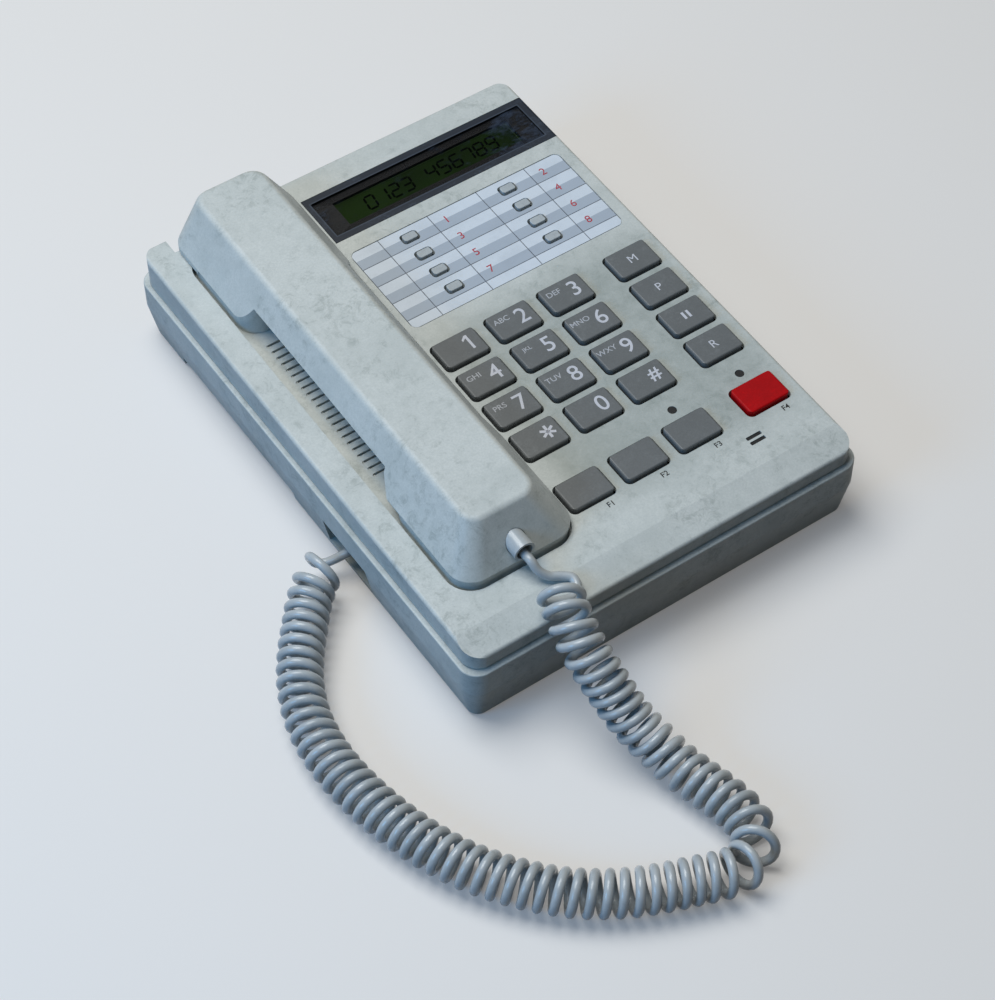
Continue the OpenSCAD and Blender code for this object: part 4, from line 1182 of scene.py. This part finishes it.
@dataclass
class Shells:
    """The moulded shells, whose curved faces are smoothed on merged copies of the solids."""

    sharp: float = math.radians(28.0)
    merge: float = 1e-6

    def smoothed(self, node: str, name: str, body: str, material: Material) -> None:
        """Copies a solid, merges its points and shades its curved faces smoothly.

        Args:
            node: The solid's node.
            name: The new piece's name.
            body: The body that it rides on.
            material: Its finish.
        """
        work = bmesh.new()
        work.from_mesh(frame["nodes"][node].data)
        bmesh.ops.remove_doubles(work, verts=work.verts, dist=self.merge)
        for edge in work.edges:
            edge.smooth = len(edge.link_faces) == 2 and edge.calc_face_angle(0.0) < self.sharp
        for face in work.faces:
            face.smooth = True
        bare = bpy.data.meshes.new(name)
        work.to_mesh(bare)
        work.free()
        bare.materials.append(material)
        made = linked(name, bare)
        weighted = made.modifiers.new("even_normals", "WEIGHTED_NORMAL")
        weighted.keep_sharp = True
        weighted.mode = "FACE_AREA"
        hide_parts(node)
        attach(made, body)
        LOG.info("%s: %d faces for %s", name, len(bare.polygons), node)


@dataclass(frozen=True)
class PrintSize:
    """The characters' height in millimetres, the widening of their outline and their stretch across."""

    height: float
    bold: float = 0.0
    stretch: float = 1.0


@dataclass(frozen=True)
class Lettering:
    """Makes flat raised print from the built-in font, laid on the deck. Ink and lift are in millimetres."""

    deck: Deck
    thick: float = 0.03
    lift: float = 0.01
    font_steps: int = 6
    merge: float = 1e-5

    def glyphs(self, words: str, bold: float) -> Solid:
        """The outline of some characters as a thin solid.

        Args:
            words: The characters.
            bold: How far their outline is widened, in parts of the font's size.

        Returns:
            Points in parts of the characters' height, about their middle with Z from 0 to 1, and their faces.
        """
        curve = bpy.data.curves.new("glyphs", "FONT")
        curve.body = words
        curve.size = 1.0
        curve.offset = bold
        curve.extrude = 0.5
        curve.resolution_u = self.font_steps
        holder = linked("glyphs", curve)
        graph = bpy.context.evaluated_depsgraph_get()
        mesh = bpy.data.meshes.new_from_object(holder.evaluated_get(graph))
        work = bmesh.new()
        work.from_mesh(mesh)
        bmesh.ops.remove_doubles(work, verts=work.verts, dist=self.merge)
        bmesh.ops.recalc_face_normals(work, faces=work.faces)
        work.to_mesh(mesh)
        work.free()
        points = np.zeros(len(mesh.vertices) * 3)
        mesh.vertices.foreach_get("co", points)
        points = points.reshape(-1, 3)
        faces = [list(face.vertices) for face in mesh.polygons]
        bpy.data.objects.remove(holder)
        bpy.data.curves.remove(curve)
        bpy.data.meshes.remove(mesh)
        low, high = points.min(0), points.max(0)
        size = high[1] - low[1]
        middle = 0.5 * (low + high)
        return (points - middle) / [size, size, high[2] - low[2]] + [0.0, 0.0, 0.5], faces

    def line(self, words: str, centre: Pair, level: float, size: PrintSize) -> Solid:
        """One line of print on the deck.

        Args:
            words: The characters.
            centre: Middle of the line on the deck.
            level: Height of the face that carries it, over the deck.
            size: The size of its characters.

        Returns:
            Points in metres and faces.
        """
        points, faces = self.glyphs(words, size.bold)
        scale = [size.height * size.stretch, size.height, self.thick]
        local = points * scale + [*centre, level + self.lift]
        return self.deck.points(local), faces

    def bars(self, outlines: np.ndarray, level: float) -> Solid:
        """Thin solids over flat outlines that all have the same number of corners.

        Args:
            outlines: Corners (count, corners, 2) on the deck, anticlockwise.
            level: Height of the face that carries them.

        Returns:
            Points in metres and faces: each outline at two levels, its two ends and its sides.
        """
        count, corners, _ = outlines.shape
        levels = level + self.lift + np.array([0.0, self.thick])
        local = np.empty((count, 2, corners, 3))
        local[..., :2] = outlines[:, None]
        local[..., 2] = levels[None, :, None]
        start = (np.arange(count) * 2 * corners)[:, None]
        ring = np.arange(corners)[None, :]
        following = (ring + 1) % corners
        ends = np.concatenate([start + ring[:, ::-1], start + corners + ring])
        top = start + corners
        sides = np.stack([start + ring, start + following, top + following, top + ring], -1)
        return self.deck.points(local).reshape(-1, 3), [*ends.tolist(), *sides.reshape(-1, 4).tolist()]


@dataclass
class Keypad:
    """The print on the keys: digits, the usual letter groups and plain marks, in millimetres on the deck."""

    lettering: Lettering
    columns: Tuple[float, ...] = (-9.8, 13.0, 35.8)
    side: float = 65.2
    rows: Tuple[float, ...] = (3.5, -12.7, -28.9, -45.1)
    rise: float = 1.7
    digit_shift: Pair = (3.7, 0.3)
    digit: PrintSize = PrintSize(6.8, 0.004)
    hash_sign: PrintSize = PrintSize(5.6, 0.015)
    group_shift: Pair = (-3.9, 2.2)
    group: PrintSize = PrintSize(2.3, 0.006, 1.05)
    side_letter: PrintSize = PrintSize(3.4)
    one_stroke: float = 1.0
    one_flag: float = 1.6
    one_slope: float = 0.85
    one_root: float = 1.25
    one_shift: float = 0.5
    star_arm: float = 2.9
    star_width: float = 1.05
    pause_bar: Pair = (1.0, 3.4)

    DIAL = ("1", "2", "3", "4", "5", "6", "7", "8", "9", "star", "0", "hash")
    GROUPS = {"2": "ABC", "3": "DEF", "4": "GHI", "5": "JKL", "6": "MNO", "7": "PRS", "8": "TUV", "9": "WXY"}
    SIDE_MARKS = (("memory", "M"), ("program", "P"), ("pause", ""), ("redial", "R"))

    def star(self, centre: Pair) -> Solid:
        """Three crossed bars.

        Args:
            centre: Middle of the star on the deck.

        Returns:
            The bars, each a rectangle turned by 60 degrees from the last.
        """
        box = rectangle(self.star_width, 2.0 * self.star_arm)
        turn = np.radians([0.0, 60.0, 120.0])
        cos, sin = np.cos(turn)[:, None], np.sin(turn)[:, None]
        outlines = np.stack([box[:, 0] * cos - box[:, 1] * sin, box[:, 0] * sin + box[:, 1] * cos], -1)
        return self.lettering.bars(outlines + np.array(centre), self.rise)

    def one(self, centre: Pair) -> Solid:
        """The digit one: an upright bar with a slanting flag.

        Args:
            centre: Middle of the digit on the deck.

        Returns:
            The bar and the flag, which falls to the left from the bar's top left corner.
        """
        bar = rectangle(self.one_stroke, self.digit.height)
        left, top = bar[3]
        tip, drop = left - self.one_flag, top - self.one_slope * self.one_flag
        root = top - self.one_root * self.one_stroke
        flag = [[tip, drop - self.one_stroke], [left, root], [left, top], [tip, drop]]
        outlines = np.array([bar, flag]) + np.array(centre) + [self.one_shift, 0.0]
        return self.lettering.bars(outlines, self.rise)

    def pause(self, centre: Pair) -> Solid:
        """Two upright bars side by side, with a bar's width between them.

        Args:
            centre: Middle of the pair on the deck.

        Returns:
            The two bars.
        """
        box, shift = rectangle(*self.pause_bar), np.array([self.pause_bar[0], 0.0])
        return self.lettering.bars(np.array([box - shift, box + shift]) + np.array(centre), self.rise)

    def mark(self, name: str, centre: Pair) -> Solid:
        """The large mark of a dial key.

        Args:
            name: The key's name.
            centre: Middle of the mark on the deck.

        Returns:
            The mark: bars for the star and the one, the font's own character for the others.
        """
        if name == "star":
            return self.star(centre)
        if name == "1":
            return self.one(centre)
        if name == "hash":
            return self.lettering.line("#", centre, self.rise, self.hash_sign)
        return self.lettering.line(name, centre, self.rise, self.digit)

    def put(self, key: str, kind: str, solid: Solid, material: Material) -> None:
        """Adds one key's print, which rides on the key."""
        add_print(f"key_{key}_{kind}", solid, material, f"key_{key}_body")

    def build(self, material: Material, faint: Material) -> None:
        """Prints every dial and side key, each mark riding on its own key.

        Args:
            material: The ink of the digits and marks.
            faint: The ink of the small letter groups.
        """
        places = [(x, y) for y in self.rows for x in self.columns]
        for name, (x, y) in zip(self.DIAL, places):
            mark = self.mark(name, (x + self.digit_shift[0], y + self.digit_shift[1]))
            self.put(name, "print", mark, material)
            if name in self.GROUPS:
                place = (x + self.group_shift[0], y + self.group_shift[1])
                letters = self.lettering.line(self.GROUPS[name], place, self.rise, self.group)
                self.put(name, "letters", letters, faint)
        for (name, letter), y in zip(self.SIDE_MARKS, self.rows):
            place = (self.side, y)
            if letter:
                mark = self.lettering.line(letter, place, self.rise, self.side_letter)
            else:
                mark = self.pause(place)
            self.put(name, "print", mark, material)


@dataclass
class DeckPrint:
    """Small plain marks printed on the deck and red numbers typed on the card, in millimetres on the deck."""

    lettering: Lettering
    function_columns: Tuple[float, ...] = (-9.8, 13.0, 35.8, 65.2)
    function_y: float = -71.5
    mark_shift: Pair = (4.0, -9.6)
    mark: PrintSize = PrintSize(2.2, 0.012)
    memory_columns: Tuple[float, ...] = (5.2, 48.4)
    memory_rows: Tuple[float, ...] = (58.7, 49.0, 39.3, 29.6)
    number_shift: float = 16.0
    number: PrintSize = PrintSize(3.4)
    card_level: float = -0.1

    def build(self, ink: Material, red: Material) -> None:
        """Prints the function marks and the card's numbers.

        Args:
            ink: The black ink of the deck.
            red: The red of the typed numbers.
        """
        y = self.function_y + self.mark_shift[1]
        marks = [
            self.lettering.line(f"F{k}", (x + self.mark_shift[0], y), 0.0, self.mark)
            for k, x in enumerate(self.function_columns, 1)
        ]
        add_print("deck_marks", joined(marks), ink, "base")
        places = [(x + self.number_shift, row) for row in self.memory_rows for x in self.memory_columns]
        numbers = [
            self.lettering.line(str(k), place, self.card_level, self.number)
            for k, place in enumerate(places, 1)
        ]
        add_print("card_numbers", joined(numbers), red, "base")


@dataclass
class Display:
    """Seven-bar digits and a thin painted highlight line round the display panel, in millimetres on the deck.
    """

    lettering: Lettering
    middle: Pair = (29.9, 83.3)
    level: float = -2.4
    height: float = 6.4
    width: float = 3.7
    bar: float = 0.85
    gap: float = 0.12
    pitch: float = 5.4
    start: float = 2.0
    slant: float = 0.12
    lit: Pair = (76.6, 12.0)
    edge: float = 0.22
    shown: str = "0123 456789"

    BARS = {
        "0": "abcdef", "1": "bc", "2": "abged", "3": "abgcd", "4": "fgbc",
        "5": "afgcd", "6": "afgedc", "7": "abc", "8": "abcdefg", "9": "abfgcd",
    }

    def level_bar(self, left: float, right: float, y: float) -> np.ndarray:
        """A level bar with pointed ends.

        Args:
            left: Its left end.
            right: Its right end.
            y: Its height on the digit.

        Returns:
            Its six corners, anticlockwise.
        """
        tip = 0.5 * self.bar
        front = [[left, y], [left + tip, y - tip], [right - tip, y - tip]]
        return np.array([*front, [right, y], [right - tip, y + tip], [left + tip, y + tip]])

    def upright_bar(self, x: float, front: float, back: float) -> np.ndarray:
        """An upright bar at x: a level one turned by a right angle."""
        return self.level_bar(front, back, -x)[:, ::-1] * [-1.0, 1.0]

    def bar_outlines(self) -> Dict[str, np.ndarray]:
        """The seven bars of a digit.

        Returns:
            Six-cornered outlines by letter, leaning to the right by the slant.
        """
        half, gap = 0.5 * self.height, self.gap
        across = (gap, self.width - gap)
        lower, upper = (gap, half - gap), (half + gap, self.height - gap)
        outlines = {
            "a": self.level_bar(*across, self.height),
            "g": self.level_bar(*across, half),
            "d": self.level_bar(*across, 0.0),
            "f": self.upright_bar(0.0, *upper),
            "b": self.upright_bar(self.width, *upper),
            "e": self.upright_bar(0.0, *lower),
            "c": self.upright_bar(self.width, *lower),
        }
        return {letter: bar @ [[1.0, 0.0], [self.slant, 1.0]] for letter, bar in outlines.items()}

    def build(self, material: Material) -> None:
        """Lays the digits on the panel.

        Args:
            material: The dark of the switched bars.
        """
        outlines = self.bar_outlines()
        front = self.middle[1] - 0.5 * self.height
        placed = [
            outlines[letter] + [self.start + index * self.pitch, front]
            for index, digit in enumerate(self.shown)
            for letter in self.BARS.get(digit, "")
        ]
        solid = self.lettering.bars(np.array(placed), self.level)
        add_print("display_digits", solid, material, "base")

    def outline(self, material: Material) -> None:
        """Lays a thin painted highlight round the panel's lit part, where the aperture's edge catches the
        light.

        Args:
            material: The painted highlight's finish.
        """
        # Painted highlight: four thin pale bars along the edges of the panel's lit part.
        width, depth = self.lit
        level, upright = rectangle(width, self.edge), rectangle(self.edge, depth - 2.0 * self.edge)
        back, right = [0.0, 0.5 * (depth - self.edge)], [0.5 * (width - self.edge), 0.0]
        boxes = np.array([level + back, level - back, upright + right, upright - right])
        solid = self.lettering.bars(boxes + np.array(self.middle), self.level)
        add_print("display_edge_highlight", solid, material, "base")


def finishes(deck: Deck) -> Dict[Slot, Material]:
    """Makes the finish of every material slot.

    Args:
        deck: The deck, for the printed card and the bezel.

    Returns:
        Materials by slot.
    """
    # The shell carries painted shade low down and over the deck's key field, on top of its stains and dirt.
    shell = MouldedPlastic(
        Slot.SHELL.value + "_soiled", screen(207, 211, 208), screen(184, 190, 187), screen(134, 143, 138),
        foot_share=0.5, hand_share=0.9, hand_x=(-14.0, 76.0), hand_y=(-78.0, 12.0),
    )
    key = MouldedPlastic(
        Slot.KEY.value + "_satin", screen(108, 111, 112), screen(96, 99, 100), screen(132, 136, 138),
        stain_size=9.0, break_size=3.0, dirt_share=0.3, speck_share=0.25, roughness=0.46, grain_depth=0.025,
    )
    red = MouldedPlastic(
        Slot.RED.value + "_satin", screen(190, 4, 14), screen(158, 2, 9), screen(198, 22, 30),
        stain_size=9.0, break_size=3.0, dirt_share=0.2, speck_share=0.25, roughness=0.5, grain_depth=0.025,
        shine=0.15,
    )
    black = MouldedPlastic(
        Slot.BLACK.value + "_moulded", screen(14, 14, 16), screen(24, 24, 26), screen(48, 48, 50),
        stain_size=8.0, break_size=2.5, dirt_share=0.3, speck_share=0.3, roughness=0.5,
    )
    bezel = SlateBezel(screen(30, 38, 50), screen(64, 76, 92), screen(7, 7, 9), (-16.3, 76.1), (74.0, 92.6))
    card = PrintedCard(
        screen(209, 218, 228), screen(169, 180, 193), screen(58, 64, 74),
        (-18.0, 74.4), (20.5, 64.0), 9.7, (-5.6, 16.0, 37.6, 59.1),
    )
    return {
        Slot.SHELL: shell.make(),
        Slot.RUBBER: SoftRubber(screen(26, 26, 27), screen(92, 92, 90)).make(),
        Slot.STEEL: PlatedSteel(screen(186, 190, 196), screen(128, 128, 126)).make(),
        Slot.BOARD: BoardMask(screen(18, 74, 44), screen(62, 128, 86)).make(),
        Slot.KEY: key.make(),
        Slot.RED: red.make(),
        Slot.BEZEL: bezel.make(deck),
        Slot.WINDOW: DisplayWindow(screen(10, 13, 20), screen(72, 84, 104)).make(),
        Slot.LCD: LiquidCrystal(screen(15, 28, 6), screen(31, 50, 14)).make(),
        Slot.CARD: card.make(deck),
        Slot.BLACK: black.make(),
        Slot.CORD: CordVinyl(screen(188, 193, 195), screen(156, 163, 166)).make(),
        Slot.PLUG: ClearPlug(screen(214, 220, 224)).make(),
    }


def dress_nodes(materials: Dict[Slot, Material], buttons: Material) -> None:
    """Gives every solid the finish of its slot, and the one-touch buttons a darker one.

    Args:
        materials: Materials by slot.
        buttons: The one-touch buttons' finish.
    """
    for part in frame["record"]["subparts"]:
        mesh = frame["nodes"][part["node"]].data
        mesh.materials.clear()
        own = buttons if part["node"].startswith("memory_key") else materials[Slot(part["material_slot"])]
        mesh.materials.append(own)


def main() -> None:
    """Builds the studio, the cord, the finishes and the print in order."""
    logging.basicConfig(level=logging.INFO, format="%(name)s: %(message)s")
    deck = Deck()
    studio = Studio()
    studio.camera()
    materials = finishes(deck)
    CurlyCord(deck).build(materials[Slot.CORD])
    buttons = MouldedPlastic(
        "one_touch_plastic", screen(180, 187, 190), screen(164, 171, 175), screen(140, 147, 150),
        stain_size=6.0, break_size=2.4, speck_share=0.2,
    )
    dress_nodes(materials, buttons.make())
    Shells().smoothed("handset_upper_shell", "handset_top_skin", "handset", materials[Slot.SHELL])
    pale = PrintInk("key_print_ink", screen(200, 202, 210), screen(164, 167, 174))
    faint = PrintInk("key_letter_ink", screen(178, 181, 187), screen(146, 149, 154), 0.4)
    black = PrintInk("deck_print_ink", screen(26, 27, 29), screen(96, 100, 100))
    red = PrintInk("typed_red_ink", screen(176, 44, 58), screen(206, 140, 148))
    dark = PrintInk("display_dark", screen(2, 4, 1), screen(5, 9, 3), gloss=0.02)
    lettering = Lettering(deck)
    Keypad(lettering).build(pale.make(), faint.make())
    DeckPrint(lettering).build(black.make(), red.make())
    display = Display(lettering)
    display.build(dark.make())
    # A painted highlight line round the display panel, in a pale green ink.
    display.outline(PrintInk("display_painted_highlight", screen(58, 72, 44), screen(40, 52, 30), gloss=0.1).make())
    studio.build(PaleFloor(screen(214, 212, 210), screen(26, 27, 28)).make())


if __name__ == "__main__":
    main()
